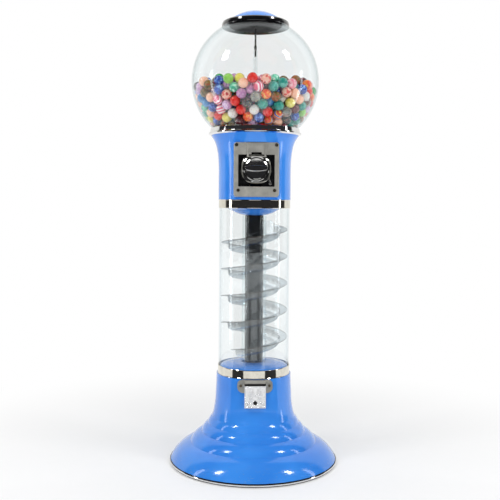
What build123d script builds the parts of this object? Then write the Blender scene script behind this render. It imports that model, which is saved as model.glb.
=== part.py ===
from build123d import *
from math import atan2, cos, degrees, radians, sin, sqrt
import os

os.makedirs("parts", exist_ok=True)

# ------------------------------------------------------------------ driving dimensions (mm)
# The floor is z = 0, the machine's axis is Z, and its front faces -Y.
NECK_TOP = 237.0            # top of the base shell
BASE_BAND_TOP = 259.4
HEAD_FLOOR = 706.0          # underside of the head shell
HEAD_TOP = 880.0
WALL = 3.0                  # moulded shells
FOOT_R = 224.5              # black edge moulding of the foot
EDGE_TOP = 10.0

TUBE_R = 95.5               # clear outer tube
TUBE_WALL = 3.0
BAND_R = 97.5
BAND_GAP = 0.1
SKIRT_R = 92.2              # skirt of the two inner domes
POST_R = 25.4
POST_BORE = 23.4
POST_TOP = 714.0

PITCH = 72.5                # rise of the spiral track in one turn
SLEEVE_IN = 31.0            # clear sleeve around the post, which carries the track
TRACK_IN = 33.0
TRACK_SHEET = 2.0
TRACK_DEPTH = 22.0          # floor of the channel below its flange
FLANGE_AT_FRONT = 317.4     # flange height where the lowest turn passes the front
TRACK_EXIT_ANGLE = 225.0
TRACK_JOINT_ANGLE = 398.0   # the exit section ends and the full turns start here
TRACK_TURNS = 4

DROP_ANGLE = 20.0           # where a ball falls out of the wheel, from +X towards +Y
DROP_R = 55.0
DROP_BORE = 16.0
EXIT_HOLE_R = 17.0
EXIT_PATH_R = 71.75         # centre line of the ball's path in the base

PLATE_W = 118.4             # coin mechanism's face plate
PLATE_H = 142.4
PLATE_Z = 784.0
PLATE_BACK = 101.0
PLATE_FRONT = 105.0
WINDOW_W = 95.0
WINDOW_H = 83.4
WINDOW_Z = 781.3
SHAFT_Z = 787.0
SHAFT_R = 5.0
HANDLE_R = 42.0
COIN_R = 12.15

PINION_TEETH = 16
CROWN_TEETH = 96
PINION_PITCH_R = 12.83
CROWN_R = PINION_PITCH_R * CROWN_TEETH / PINION_TEETH
ADDENDUM = 1.4
DEDENDUM = 1.9
FACE_WIDTH = 8.0
WHEEL_R = 81.5
WHEEL_TOP = 829.0
PAN_FLOOR = 794.0
PAN_TOP = 832.0
POCKET_R = 15.0
POCKETS = 6
AXLE_R = 8.0

GLOBE_Z = 1027.0            # centre of the globe
GLOBE_R = 173.0
GLOBE_WALL = 3.0
MOUTH_R = 72.0              # top mouth
MOUTH_TOP = 1186.0
LID_CAP_R = 75.5
LID_CAP_FOOT = 1190.5
TOTAL_H = 1219.5


# ------------------------------------------------------------------ shared shapes
def turned(points, mode=Mode.ADD):
    """A solid turned about the machine's axis from (radius, height) corners."""
    with BuildSketch(Plane.XZ) as profile:
        with BuildLine():
            Polyline(*points, close=True)
        make_face()
    revolve(profile.sketch, axis=Axis.Z, mode=mode)


def turned_edges(edges, mode=Mode.ADD):
    """The same from a closed chain of lines and curves."""
    with BuildSketch(Plane.XZ) as profile:
        make_face(edges)
    revolve(profile.sketch, axis=Axis.Z, mode=mode)


def sector(r_in, r_out, start, size):
    """Adds a ring sector to the active sketch."""
    with BuildLine() as outline:
        inner = CenterArc((0, 0), r_in, start, size)
        outer = CenterArc((0, 0), r_out, start, size)
        Line(inner @ 0, outer @ 0)
        Line(inner @ 1, outer @ 1)
    make_face(outline.edges())


def polygon_face(points):
    """A flat face on the XY plane, to be added at one or more locations."""
    return make_face(Polyline(*points, close=True, mode=Mode.PRIVATE), mode=Mode.PRIVATE)


def front_block(width, height, z, y_from, y_to, radius=0.0, mode=Mode.ADD):
    """A block seen from the front, from depth y_from to y_to in front of the axis."""
    with BuildSketch(Plane.XZ.offset(y_from)) as face:
        with Locations((0, z)):
            if radius:
                RectangleRounded(width, height, radius)
            else:
                Rectangle(width, height)
    extrude(face.sketch, amount=y_to - y_from, mode=mode)


def front_discs(places, radius, y_from, y_to, mode=Mode.ADD):
    """Round pins or holes along Y at (x, z) places."""
    with BuildSketch(Plane.XZ.offset(y_from)) as face:
        with Locations(*places):
            Circle(radius)
    extrude(face.sketch, amount=y_to - y_from, mode=mode)


def helix_at(radius, z, start_angle, turn_angle, pitch, lefthand=False):
    """A helix about Z that starts at an angle from +X and a height."""
    path = Helix(pitch=pitch, height=pitch * turn_angle / 360, radius=radius,
                 lefthand=lefthand, mode=Mode.PRIVATE)
    return Pos(0, 0, z) * Rot(0, 0, start_angle) * path


def radial_plane(angle, z=0.0):
    """An upright plane through the axis: local x is radius, local y is height."""
    x_dir = (cos(radians(angle)), sin(radians(angle)), 0)
    z_dir = (sin(radians(angle)), -cos(radians(angle)), 0)
    return Plane((0, 0, z), x_dir=x_dir, z_dir=z_dir)


def polar(radius, angle):
    return (radius * cos(radians(angle)), radius * sin(radians(angle)))


# ------------------------------------------------------------------ base
# Valleys between the rounded steps of the flare, as (radius, height).
VALLEYS = [(113.0, 121.0), (123.5, 103.0), (140.5, 81.0), (170.0, 54.5), (FOOT_R - 1.5, EDGE_TOP)]
STEP_BULGE = [1.3, 2.6, 4.2, 7.5]


def flare(shrink):
    """The flare's outline moved inwards by shrink."""
    corners = [(r - 0.72 * shrink, z - 0.72 * shrink) for r, z in VALLEYS[:-1]]
    corners.append((VALLEYS[-1][0] - shrink, EDGE_TOP))
    edges = [Line((100.6 - shrink, NECK_TOP), (103.2 - shrink, 175)),
             Spline((103.2 - shrink, 175), (106.6 - shrink, 143), corners[0],
                    tangents=((0.04, -1), (0.5, -1)))]
    for (r0, z0), (r1, z1), bulge in zip(corners, corners[1:], STEP_BULGE):
        length = sqrt((r1 - r0) ** 2 + (z1 - z0) ** 2)
        middle = ((r0 + r1) / 2 + bulge * (z0 - z1) / length,
                  (z0 + z1) / 2 + bulge * (r1 - r0) / length)
        edges.append(ThreePointArc((r0, z0), middle, (r1, z1)))
    return edges


def neck_solid(shrink, mode=Mode.ADD):
    """The base's outer volume down to its foot."""
    edges = flare(shrink)
    turned_edges(edges + [Line((0, NECK_TOP), edges[0] @ 0), Line((0, EDGE_TOP), (0, NECK_TOP)),
                          Line(edges[-1] @ 1, (0, EDGE_TOP))], mode=mode)


DOOR_W = 44.0               # ball exit at the front of the neck
DOOR_BOTTOM = 170.0
DOOR_TOP = 221.0
DRAWER_W = 66.0             # cash drawer's mouth at the back of the neck
DRAWER_BOTTOM = 141.0
DRAWER_TOP = 197.0
FRAME_BACK = 112.5

with BuildPart() as base_shell:
    neck_solid(0)
    inner_edges = flare(WALL)
    neck_inner = NECK_TOP - 3.5
    turned_edges(inner_edges[1:] + [Line(inner_edges[1] @ 0, (98.3, neck_inner)),
                                    Line((98.3, neck_inner), (0, neck_inner)),
                                    Line((0, neck_inner), (0, EDGE_TOP)),
                                    Line((0, EDGE_TOP), inner_edges[-1] @ 1)], mode=Mode.SUBTRACT)
    turned([(0, neck_inner - 1), (89.5, neck_inner - 1), (89.5, NECK_TOP + 1), (0, NECK_TOP + 1)],
           mode=Mode.SUBTRACT)
    front_block(DOOR_W, DOOR_TOP - DOOR_BOTTOM, (DOOR_TOP + DOOR_BOTTOM) / 2, 80, 120, 3,
                mode=Mode.SUBTRACT)
    front_block(DRAWER_W + 14, DRAWER_TOP - DRAWER_BOTTOM + 14, (DRAWER_TOP + DRAWER_BOTTOM) / 2,
                -130, -75, 3, mode=Mode.SUBTRACT)
    front_discs([(-37.5, 222), (37.5, 222)], 1.7, 80, 120, mode=Mode.SUBTRACT)
base_shell.part.label = "base_shell"
export_step(base_shell.part, "parts/base_shell.step")

with BuildPart() as base_edge_moulding:
    turned([(205, 1.5), (FOOT_R - 1, 1.5), (FOOT_R, 2.5), (FOOT_R, 3.4), (FOOT_R - 2, 3.4),
            (FOOT_R - 2, 8.1), (FOOT_R, 8.1), (FOOT_R, 9.2), (FOOT_R - 0.8, EDGE_TOP),
            (213, EDGE_TOP), (213, 7), (205, 7)])
base_edge_moulding.part.label = "base_edge_moulding"
export_step(base_edge_moulding.part, "parts/base_edge_moulding.step")

with BuildPart() as base_trim_ring:
    turned([(FOOT_R - 1.9, 3.5), (FOOT_R + 0.4, 3.5), (FOOT_R + 1.1, 4.6), (FOOT_R + 1.1, 6.9),
            (FOOT_R + 0.4, 8.0), (FOOT_R - 1.9, 8.0)])
base_trim_ring.part.label = "base_trim_ring"
export_step(base_trim_ring.part, "parts/base_trim_ring.step")

FOOT_COUNT = 6
FOOT_CIRCLE = 180.0

with BuildPart() as base_bottom_plate:
    with BuildSketch(Plane.XY.offset(4)):
        Circle(204.5)
        with PolarLocations(FOOT_CIRCLE, FOOT_COUNT):
            Circle(3.2, mode=Mode.SUBTRACT)
    extrude(amount=3)
base_bottom_plate.part.label = "base_bottom_plate"
export_step(base_bottom_plate.part, "parts/base_bottom_plate.step")

with BuildPart() as rubber_feet:
    with BuildSketch():
        with PolarLocations(FOOT_CIRCLE, FOOT_COUNT):
            Circle(14)
    extrude(amount=4, taper=6)
    with BuildSketch(Plane.XY.offset(4)):
        with PolarLocations(FOOT_CIRCLE, FOOT_COUNT):
            Circle(3)
    extrude(amount=5)
rubber_feet.part.label = "rubber_feet"
export_step(rubber_feet.part, "parts/rubber_feet.step")

with BuildPart() as base_band:
    turned([(TUBE_R + BAND_GAP, NECK_TOP), (BAND_R + 0.6, NECK_TOP), (BAND_R + 0.6, NECK_TOP + 1.2),
            (BAND_R, NECK_TOP + 2), (BAND_R, BASE_BAND_TOP - 1), (BAND_R - 0.6, BASE_BAND_TOP),
            (TUBE_R + BAND_GAP, BASE_BAND_TOP)])
base_band.part.label = "base_band"
export_step(base_band.part, "parts/base_band.step")

DOME_FLAT = 264.0           # underside of the flat middle of the lower dome
DOME_SHEET = 2.0

with BuildPart() as base_dome:
    outer_rise = [Line((SKIRT_R, NECK_TOP), (SKIRT_R, 255.5)),
                  ThreePointArc((SKIRT_R, 255.5), (86, 260.2), (78, 262.2)),
                  Spline((78, 262.2), (60, 265.2), (42, DOME_FLAT + DOME_SHEET), tangents=((-4, 1), (-1, 0)))]
    inner_rise = [Line((SKIRT_R - 2, NECK_TOP), (SKIRT_R - 2, 254.8)),
                  ThreePointArc((SKIRT_R - 2, 254.8), (85, 258.4), (77.6, 260.1)),
                  Spline((77.6, 260.1), (60, 263.1), (42, DOME_FLAT), tangents=((-4, 1), (-1, 0)))]
    hole_edge = POST_R + 0.1
    turned_edges(outer_rise + inner_rise + [
        Line((SKIRT_R, NECK_TOP), (SKIRT_R - 2, NECK_TOP)),
        Line((42, DOME_FLAT + DOME_SHEET), (hole_edge, DOME_FLAT + DOME_SHEET)),
        Line((hole_edge, DOME_FLAT + DOME_SHEET), (hole_edge, DOME_FLAT)),
        Line((hole_edge, DOME_FLAT), (42, DOME_FLAT))])
    with BuildSketch(Plane.XY.offset(250)):
        with Locations((0, EXIT_PATH_R)):
            Circle(EXIT_HOLE_R)
    extrude(amount=20, mode=Mode.SUBTRACT)
base_dome.part.label = "base_dome"
export_step(base_dome.part, "parts/base_dome.step")

# The ball rolls from the hole at the back, round the -X side, into the cup at the front.
CHUTE_END_ANGLE = 252.0
CHUTE_END_Z = 186.0
CHUTE_TURN = 182.0
CHUTE_PITCH = 100.0
CHUTE_IN = 54.0
CHUTE_OUT = 88.3
CHUTE_SHEET = 1.5
CHUTE_SIDE = 20.0
CUP_LEFT = -22.0
CUP_RIGHT = 20.5
CUP_REAR = -50.0
CUP_FRONT = -97.0
CUP_FLOOR = 174.0
CUP_TOP = 206.0

chute_section = [(CHUTE_IN, -CHUTE_SHEET), (CHUTE_OUT, -CHUTE_SHEET), (CHUTE_OUT, CHUTE_SIDE),
                 (CHUTE_OUT - CHUTE_SHEET, CHUTE_SIDE), (CHUTE_OUT - CHUTE_SHEET, 0),
                 (CHUTE_IN + CHUTE_SHEET, 0), (CHUTE_IN + CHUTE_SHEET, CHUTE_SIDE),
                 (CHUTE_IN, CHUTE_SIDE)]
chute_path = helix_at(EXIT_PATH_R, CHUTE_END_Z, CHUTE_END_ANGLE, CHUTE_TURN, CHUTE_PITCH, True)
chute_top_z = CHUTE_END_Z + CHUTE_PITCH * CHUTE_TURN / 360

with BuildPart() as exit_chute:
    with BuildSketch(Plane.XY.offset(CUP_FLOOR)) as cup:
        with Locations(((CUP_LEFT + CUP_RIGHT) / 2, (CUP_REAR + CUP_FRONT) / 2)):
            Rectangle(CUP_RIGHT - CUP_LEFT, CUP_REAR - CUP_FRONT)
    extrude(amount=CUP_TOP - CUP_FLOOR)
    with BuildSketch(Plane.XY.offset(CUP_FLOOR + CHUTE_SHEET)):
        with Locations(((CUP_LEFT + CUP_RIGHT) / 2, (CUP_REAR + CUP_FRONT) / 2 - CHUTE_SHEET)):
            Rectangle(CUP_RIGHT - CUP_LEFT - 2 * CHUTE_SHEET, CUP_REAR - CUP_FRONT)
    extrude(amount=CUP_TOP, mode=Mode.SUBTRACT)
    with BuildSketch(Plane.XY.offset(CHUTE_END_Z)):
        with Locations((CUP_LEFT, -69)):
            Rectangle(6, 31)
    extrude(amount=CHUTE_SIDE + 10, mode=Mode.SUBTRACT)
    with BuildSketch(radial_plane(CHUTE_END_ANGLE, CHUTE_END_Z)) as section:
        with BuildLine():
            Polyline(*chute_section, close=True)
        make_face()
    sweep(section.sketch, chute_path, is_frenet=True)
    with BuildSketch(radial_plane(CHUTE_END_ANGLE - CHUTE_TURN, chute_top_z)) as stop:
        with Locations(((CHUTE_IN + CHUTE_OUT) / 2, 6)):
            Rectangle(CHUTE_OUT - CHUTE_IN, 15)
    extrude(stop.sketch, amount=CHUTE_SHEET)
exit_chute.part.label = "exit_chute"
export_step(exit_chute.part, "parts/exit_chute.step")

# The plate follows the neck; a box in its middle surrounds the exit.
EAR_W = 92.5
EAR_BOTTOM = 203.0
EAR_SCREWS = [(-37.5, 222), (37.5, 222)]
DOOR_PIN_Y = 108.6
DOOR_PIN_Z = 224.8
DOOR_PIN_R = 1.5
PLATE_OUTER_R = 105.2

with BuildPart() as chute_plate:
    with BuildSketch(Plane.XY.offset(EAR_BOTTOM)):
        Circle(PLATE_OUTER_R)
    extrude(amount=NECK_TOP - EAR_BOTTOM)
    with BuildSketch(Plane.XZ.offset(60)) as outline:
        with Locations((0, (EAR_BOTTOM + NECK_TOP) / 2)):
            Rectangle(EAR_W, NECK_TOP - EAR_BOTTOM)
        fillet(outline.vertices().group_by(Axis.Z)[0], 14)
    extrude(outline.sketch, amount=60, mode=Mode.INTERSECT)
    front_block(54, 61, 195.6, 101.2, 106.6, 2)
    front_block(54, NECK_TOP - 228.4, (NECK_TOP + 228.4) / 2, 101.2, 107.6)
    for side in (-1, 1):
        with BuildSketch(Plane.YZ.offset(28.2 * side)):
            with BuildLine():
                Polyline((-100, 219), (-100, 229.5), (-DOOR_PIN_Y, 229.5), (-DOOR_PIN_Y - 3.4, 227),
                         (-DOOR_PIN_Y - 3.4, 222.5), (-DOOR_PIN_Y, 219), close=True)
            make_face()
        extrude(amount=2.6 * side)
    neck_solid(-0.1, mode=Mode.SUBTRACT)
    front_block(DOOR_W, DOOR_TOP - DOOR_BOTTOM, (DOOR_TOP + DOOR_BOTTOM) / 2, 80, 120, 3,
                mode=Mode.SUBTRACT)
    front_discs(EAR_SCREWS, 1.7, 60, 120, mode=Mode.SUBTRACT)
    with BuildSketch(Plane.YZ.offset(-40)) as pin_room:
        with Locations((-DOOR_PIN_Y, DOOR_PIN_Z)):
            Circle(DOOR_PIN_R + 0.04)
    extrude(pin_room.sketch, amount=80, mode=Mode.SUBTRACT)
    with BuildSketch(Plane.YZ.offset(-28)) as barrel_room:
        with Locations((-DOOR_PIN_Y, DOOR_PIN_Z)):
            Circle(3.5)
    extrude(barrel_room.sketch, amount=56, mode=Mode.SUBTRACT)
chute_plate.part.label = "chute_plate"
export_step(chute_plate.part, "parts/chute_plate.step")

with BuildPart() as chute_door_pin:
    with BuildSketch(Plane.YZ.offset(-31)):
        with Locations((-DOOR_PIN_Y, DOOR_PIN_Z)):
            Circle(DOOR_PIN_R)
    extrude(amount=62)
chute_door_pin.part.label = "chute_door_pin"
export_step(chute_door_pin.part, "parts/chute_door_pin.step")

FLAP_W = 55.0
FLAP_TOP = 223.0
FLAP_BOTTOM = 166.0
FLAP_BACK = 107.2
FLAP_FRONT = 110.4

with BuildPart() as chute_door:
    front_block(FLAP_W, FLAP_TOP - FLAP_BOTTOM, (FLAP_TOP + FLAP_BOTTOM) / 2, FLAP_BACK, FLAP_FRONT, 4)
    chamfer(chute_door.faces().sort_by(Axis.Y)[0].edges(), 0.6)
    with BuildSketch(Plane.YZ.offset(-27.3)):
        with Locations((-DOOR_PIN_Y, DOOR_PIN_Z)):
            Circle(3)
    extrude(amount=54.6)
    # A plain raised border and four round bosses stand for the cast ornament.
    front_block(45, 44, 194, FLAP_FRONT - 0.1, FLAP_FRONT + 0.9, 3)
    front_discs([(-16, 207), (16, 207), (-16, 183), (16, 183), (0, 198)], 5, FLAP_FRONT, FLAP_FRONT + 1.8)
    front_discs([(0, 179)], 5, 100, 120, mode=Mode.SUBTRACT)
    with BuildSketch(Plane.YZ.offset(-40)) as pin_room:
        with Locations((-DOOR_PIN_Y, DOOR_PIN_Z)):
            Circle(DOOR_PIN_R + 0.06)
    extrude(pin_room.sketch, amount=80, mode=Mode.SUBTRACT)
chute_door.part.label = "chute_door"
export_step(chute_door.part, "parts/chute_door.step")

# ------------------------------------------------------------------ cash drawer in the neck's back
FRAME_W = 84.0
FRAME_H = 74.0
DRAWER_Z = (DRAWER_BOTTOM + DRAWER_TOP) / 2
DRAWER_H = DRAWER_TOP - DRAWER_BOTTOM
SLEEVE_SHEET = 1.5
BIN_W = DRAWER_W - 2 * SLEEVE_SHEET - 2
BIN_H = 33.0
BIN_Z = DRAWER_BOTTOM + SLEEVE_SHEET + 0.8 + BIN_H / 2
BIN_FRONT = 34.0            # the bin's end near the post
LOCK_Z = 186.0
LOCK_R = 8.0

with BuildPart() as cash_frame:
    front_block(FRAME_W, FRAME_H, DRAWER_Z, -FRAME_BACK, -88, 6)
    neck_solid(-0.1, mode=Mode.SUBTRACT)
    chamfer(cash_frame.faces().sort_by(Axis.Y)[-1].outer_wire().edges(), 0.8)
    # The sheet sleeve behind the frame guides the drawer and is open at its top.
    front_block(DRAWER_W, DRAWER_H, DRAWER_Z, 1 - FRAME_BACK, BIN_FRONT + 4)
    front_block(DRAWER_W - 2 * SLEEVE_SHEET, DRAWER_H - SLEEVE_SHEET, DRAWER_Z + SLEEVE_SHEET / 2,
                -FRAME_BACK - 1, BIN_FRONT + 4 - SLEEVE_SHEET, mode=Mode.SUBTRACT)
    front_block(DRAWER_W - 2 * SLEEVE_SHEET, 30, DRAWER_TOP, -100, BIN_FRONT + 4 - SLEEVE_SHEET,
                mode=Mode.SUBTRACT)
cash_frame.part.label = "cash_frame"
export_step(cash_frame.part, "parts/cash_frame.step")

with BuildPart() as cash_box:
    front_block(BIN_W, BIN_H, BIN_Z, -FRAME_BACK - 0.4, BIN_FRONT)
    front_block(BIN_W - 2.4, BIN_H, BIN_Z + 1.2, -FRAME_BACK + 1, BIN_FRONT - 1.2, mode=Mode.SUBTRACT)
cash_box.part.label = "cash_box"
export_step(cash_box.part, "parts/cash_box.step")

with BuildPart() as cash_drawer_front:
    front_block(DRAWER_W + 8, DRAWER_H + 6, DRAWER_Z, -FRAME_BACK - 3.4, -FRAME_BACK - 0.4, 4)
    chamfer(cash_drawer_front.faces().sort_by(Axis.Y)[-1].edges(), 0.8)
    front_discs([(0, LOCK_Z)], LOCK_R + 0.05, -130, -100, mode=Mode.SUBTRACT)
cash_drawer_front.part.label = "cash_drawer_front"
export_step(cash_drawer_front.part, "parts/cash_drawer_front.step")

CAM_BACK = 15.0             # the cam turns behind the neck's wall, this far inside the frame's face

with BuildPart() as cash_lock:
    front_discs([(0, LOCK_Z)], LOCK_R, -FRAME_BACK - 5, CAM_BACK - FRAME_BACK)
    front_discs([(0, LOCK_Z)], LOCK_R + 2.5, -FRAME_BACK - 5, -FRAME_BACK - 3.5)
    front_block(1.6, 9, LOCK_Z, -FRAME_BACK - 6, -FRAME_BACK, mode=Mode.SUBTRACT)
    with BuildSketch(Plane.XZ.offset(CAM_BACK - FRAME_BACK)) as cam:
        with Locations((0, LOCK_Z)):
            SlotCenterPoint((8, 0), (16, 0), 12)
            Circle(7)
    extrude(cam.sketch, amount=2)
cash_lock.part.label = "cash_lock"
export_step(cash_lock.part, "parts/cash_lock.step")

# ------------------------------------------------------------------ post, clear tube and track
FLANGE_DISC_R = 36.0
FLANGE_SCREW_R = 31.0
FLANGE_SCREWS = 4


def post_flange(z):
    """A steel disc welded round the post, with four screw holes."""
    with BuildSketch(Plane.XY.offset(z)) as disc:
        Circle(FLANGE_DISC_R)
        Circle(POST_R, mode=Mode.SUBTRACT)
        with PolarLocations(FLANGE_SCREW_R, FLANGE_SCREWS, start_angle=45):
            Circle(2.1, mode=Mode.SUBTRACT)
    extrude(disc.sketch, amount=3)


def flange_screw_set(head_z, head_height, shank_z, shank_height):
    """Four screws in a circle around the post."""
    with BuildSketch(Plane.XY.offset(head_z)) as heads:
        with PolarLocations(FLANGE_SCREW_R, FLANGE_SCREWS, start_angle=45):
            Circle(4)
    extrude(heads.sketch, amount=head_height)
    with BuildSketch(Plane.XY.offset(shank_z)) as shanks:
        with PolarLocations(FLANGE_SCREW_R, FLANGE_SCREWS, start_angle=45):
            Circle(2)
    extrude(shanks.sketch, amount=shank_height)


with BuildPart() as center_post:
    with BuildSketch(Plane.XY.offset(DOME_FLAT - 4)):
        Circle(POST_R)
        Circle(POST_BORE, mode=Mode.SUBTRACT)
    extrude(amount=POST_TOP - DOME_FLAT + 4)
center_post.part.label = "center_post"
export_step(center_post.part, "parts/center_post.step")

HEAD_FLOOR_SHEET = 4.0

with BuildPart() as post_flanges:
    post_flange(DOME_FLAT - 3)
    post_flange(HEAD_FLOOR + HEAD_FLOOR_SHEET)
post_flanges.part.label = "post_flanges"
export_step(post_flanges.part, "parts/post_flanges.step")

with BuildPart() as flange_screws:
    flange_screw_set(DOME_FLAT - 6, 3, DOME_FLAT - 3, 3)
    flange_screw_set(HEAD_FLOOR + HEAD_FLOOR_SHEET + 3, 3, HEAD_FLOOR, HEAD_FLOOR_SHEET + 3)
flange_screws.part.label = "flange_screws"
export_step(flange_screws.part, "parts/flange_screws.step")

SLEEVE_FOOT = DOME_FLAT + DOME_SHEET
SLEEVE_TOP = 662.0          # just below the upper dome

with BuildPart() as post_sleeve:
    turned([(POST_R + 0.1, SLEEVE_FOOT), (TRACK_IN, SLEEVE_FOOT), (TRACK_IN, SLEEVE_TOP),
            (SLEEVE_IN, SLEEVE_TOP), (SLEEVE_IN, SLEEVE_FOOT + 9), (POST_R + 0.1, SLEEVE_FOOT + 9)])
post_sleeve.part.label = "post_sleeve"
export_step(post_sleeve.part, "parts/post_sleeve.step")

with BuildPart() as clear_tube:
    with BuildSketch(Plane.XY.offset(NECK_TOP)):
        Circle(TUBE_R)
        Circle(TUBE_R - TUBE_WALL, mode=Mode.SUBTRACT)
    extrude(amount=HEAD_FLOOR - NECK_TOP)
clear_tube.part.label = "clear_tube"
export_step(clear_tube.part, "parts/clear_tube.step")

# The track's cross-section, with its flange top at height 0: inner lip, rounded channel, flange.
FLANGE_RISE = 1.5
FLANGE_EDGE = 90.0
CHANNEL_OUT = 71.0
LIP_RISE = 7.0


def track_section():
    """Adds the closed cross-section of the track to the active sketch."""
    sheet = TRACK_SHEET
    floor = -TRACK_DEPTH
    lip = TRACK_IN + sheet
    with BuildLine() as outline:
        Polyline((TRACK_IN, floor), (TRACK_IN, floor + LIP_RISE), (lip, floor + LIP_RISE),
                 (lip, floor + sheet + 3))
        ThreePointArc((lip, floor + sheet + 3), (lip + 0.9, floor + sheet + 0.9), (lip + 3, floor + sheet))
        Line((lip + 3, floor + sheet), (CHANNEL_OUT - 12, floor + sheet))
        ThreePointArc((CHANNEL_OUT - 12, floor + sheet), (CHANNEL_OUT - 5, floor + sheet + 3),
                      (CHANNEL_OUT - 2, floor + sheet + 10))
        Polyline((CHANNEL_OUT - 2, floor + sheet + 10), (CHANNEL_OUT - 1, 0), (FLANGE_EDGE, FLANGE_RISE),
                 (FLANGE_EDGE, FLANGE_RISE - sheet), (CHANNEL_OUT + 0.9, -sheet),
                 (CHANNEL_OUT, floor + 12))
        ThreePointArc((CHANNEL_OUT, floor + 12), (CHANNEL_OUT - 3.6, floor + 3.6), (CHANNEL_OUT - 12, floor))
        Line((CHANNEL_OUT - 12, floor), (TRACK_IN, floor))
    make_face(outline.edges())


def track_height(angle):
    """Flange height at an angle counted on from the track's lowest end."""
    return FLANGE_AT_FRONT + (angle - 270) / 360 * PITCH


def swept_track(angle_from, angle_to):
    """A length of the track between two angles."""
    z = track_height(angle_from)
    with BuildSketch(radial_plane(angle_from, z)) as section:
        track_section()
    path = helix_at(DROP_R, z, angle_from, angle_to - angle_from, PITCH)
    sweep(section.sketch, path, is_frenet=True)


with BuildPart() as spiral_exit_section:
    swept_track(TRACK_EXIT_ANGLE, TRACK_JOINT_ANGLE)
spiral_exit_section.part.label = "spiral_exit_section"
export_step(spiral_exit_section.part, "parts/spiral_exit_section.step")

TRACK_END_ANGLE = TRACK_JOINT_ANGLE + 360 * TRACK_TURNS


def track_end_wall():
    """The wall that closes the track's top end and keeps the falling ball in the channel."""
    with BuildSketch(radial_plane(TRACK_END_ANGLE, track_height(TRACK_END_ANGLE))) as wall:
        with BuildLine():
            Polyline((TRACK_IN, -TRACK_DEPTH), (TRACK_IN, 16), (58, 16))
            Spline((58, 16), (68, 10), (84, 2.2), tangents=((1, -0.1), (1, -0.1)))
            Polyline((84, 2.2), (FLANGE_EDGE, 2), (FLANGE_EDGE, -1), (CHANNEL_OUT, -3),
                     (CHANNEL_OUT, -TRACK_DEPTH + 12), (CHANNEL_OUT - 4, -TRACK_DEPTH + 4),
                     (CHANNEL_OUT - 12, -TRACK_DEPTH), (TRACK_IN, -TRACK_DEPTH))
        make_face()
    extrude(wall.sketch, amount=TRACK_SHEET)


for turn in range(TRACK_TURNS):
    angle = TRACK_JOINT_ANGLE + 360 * turn
    with BuildPart() as spiral_section:
        swept_track(angle, angle + 360)
        if turn == TRACK_TURNS - 1:
            track_end_wall()
    spiral_section.part.label = f"spiral_section_{turn + 1}"
    export_step(spiral_section.part, f"parts/spiral_section_{turn + 1}.step")

# ------------------------------------------------------------------ head
drop_x, drop_y = polar(DROP_R, DROP_ANGLE)

with BuildPart() as head_band:
    turned([(TUBE_R + BAND_GAP, 683), (BAND_R - 0.6, 683), (BAND_R, 684), (BAND_R, HEAD_FLOOR - 2),
            (BAND_R + 0.6, HEAD_FLOOR - 1.2), (BAND_R + 0.6, HEAD_FLOOR), (TUBE_R + BAND_GAP, HEAD_FLOOR)])
head_band.part.label = "head_band"
export_step(head_band.part, "parts/head_band.step")

with BuildPart() as head_dome:
    lower_side = [Line((SKIRT_R, HEAD_FLOOR), (SKIRT_R, 691)),
                  Spline((SKIRT_R, 691), (78, 682.6), (52, 671), (30, 664),
                         tangents=((-0.1, -1), (-1, -0.2)))]
    upper_side = [Line((SKIRT_R - 2, HEAD_FLOOR), (SKIRT_R - 2, 692)),
                  Spline((SKIRT_R - 2, 692), (77.6, 684.7), (51.6, 673), (30, 666),
                         tangents=((-0.1, -1), (-1, -0.2)))]
    hole_edge = POST_R + 0.1
    turned_edges(lower_side + upper_side + [
        Line((SKIRT_R, HEAD_FLOOR), (SKIRT_R - 2, HEAD_FLOOR)), Line((30, 664), (hole_edge, 664)),
        Line((hole_edge, 664), (hole_edge, 666)), Line((hole_edge, 666), (30, 666))])
    with BuildSketch(Plane.XY.offset(650)):
        with Locations((drop_x, drop_y)):
            Circle(DROP_BORE + 1.8)
    extrude(amount=45, mode=Mode.SUBTRACT)
head_dome.part.label = "head_dome"
export_step(head_dome.part, "parts/head_dome.step")

SCREW_PLACES = [(-52, 848), (52, 848), (-47.3, 730), (47.3, 730)]
HEAD_STRAIGHT = 98.3
BOSS_DRAFT = 8.0


def head_side(shrink):
    """The head's outline from its floor to its flared top, moved inwards by shrink."""
    return [Line((HEAD_STRAIGHT - shrink, HEAD_FLOOR), (HEAD_STRAIGHT - shrink, 765)),
            Spline((HEAD_STRAIGHT - shrink, 765), (99.4 - shrink, 814.5), (104 - shrink, 847),
                   (109.5 - shrink, 863.6), (119.9 - shrink, HEAD_TOP),
                   tangents=((0, 1), (0.75, 1)))]


def head_solid(shrink, mode=Mode.ADD):
    side = head_side(shrink)
    turned_edges(side + [Line((0, HEAD_TOP), side[1] @ 1), Line((0, HEAD_FLOOR), (0, HEAD_TOP)),
                         Line((0, HEAD_FLOOR), side[0] @ 0)], mode=mode)


def boss(shrink, mode=Mode.ADD):
    """The block that carries the face plate, wider where it meets the round head."""
    with BuildSketch(Plane.XZ.offset(PLATE_BACK - shrink)) as front:
        with Locations((0, PLATE_Z)):
            RectangleRounded(PLATE_W + 1.2 - 2 * shrink, PLATE_H + 1.2 - 2 * shrink, 8)
    with BuildSketch(Plane.XZ.offset(60)) as back:
        with Locations((0, PLATE_Z + 0.5)):
            RectangleRounded(PLATE_W + 2 * BOSS_DRAFT - 2 * shrink, PLATE_H + 12 - 2 * shrink, 8)
    loft([front.sketch, back.sketch], mode=mode)


with BuildPart() as head_space:
    head_solid(WALL)
    boss(WALL)
    turned([(0, HEAD_FLOOR - 5), (140, HEAD_FLOOR - 5), (140, HEAD_FLOOR + HEAD_FLOOR_SHEET),
            (0, HEAD_FLOOR + HEAD_FLOOR_SHEET)], mode=Mode.SUBTRACT)

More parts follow.
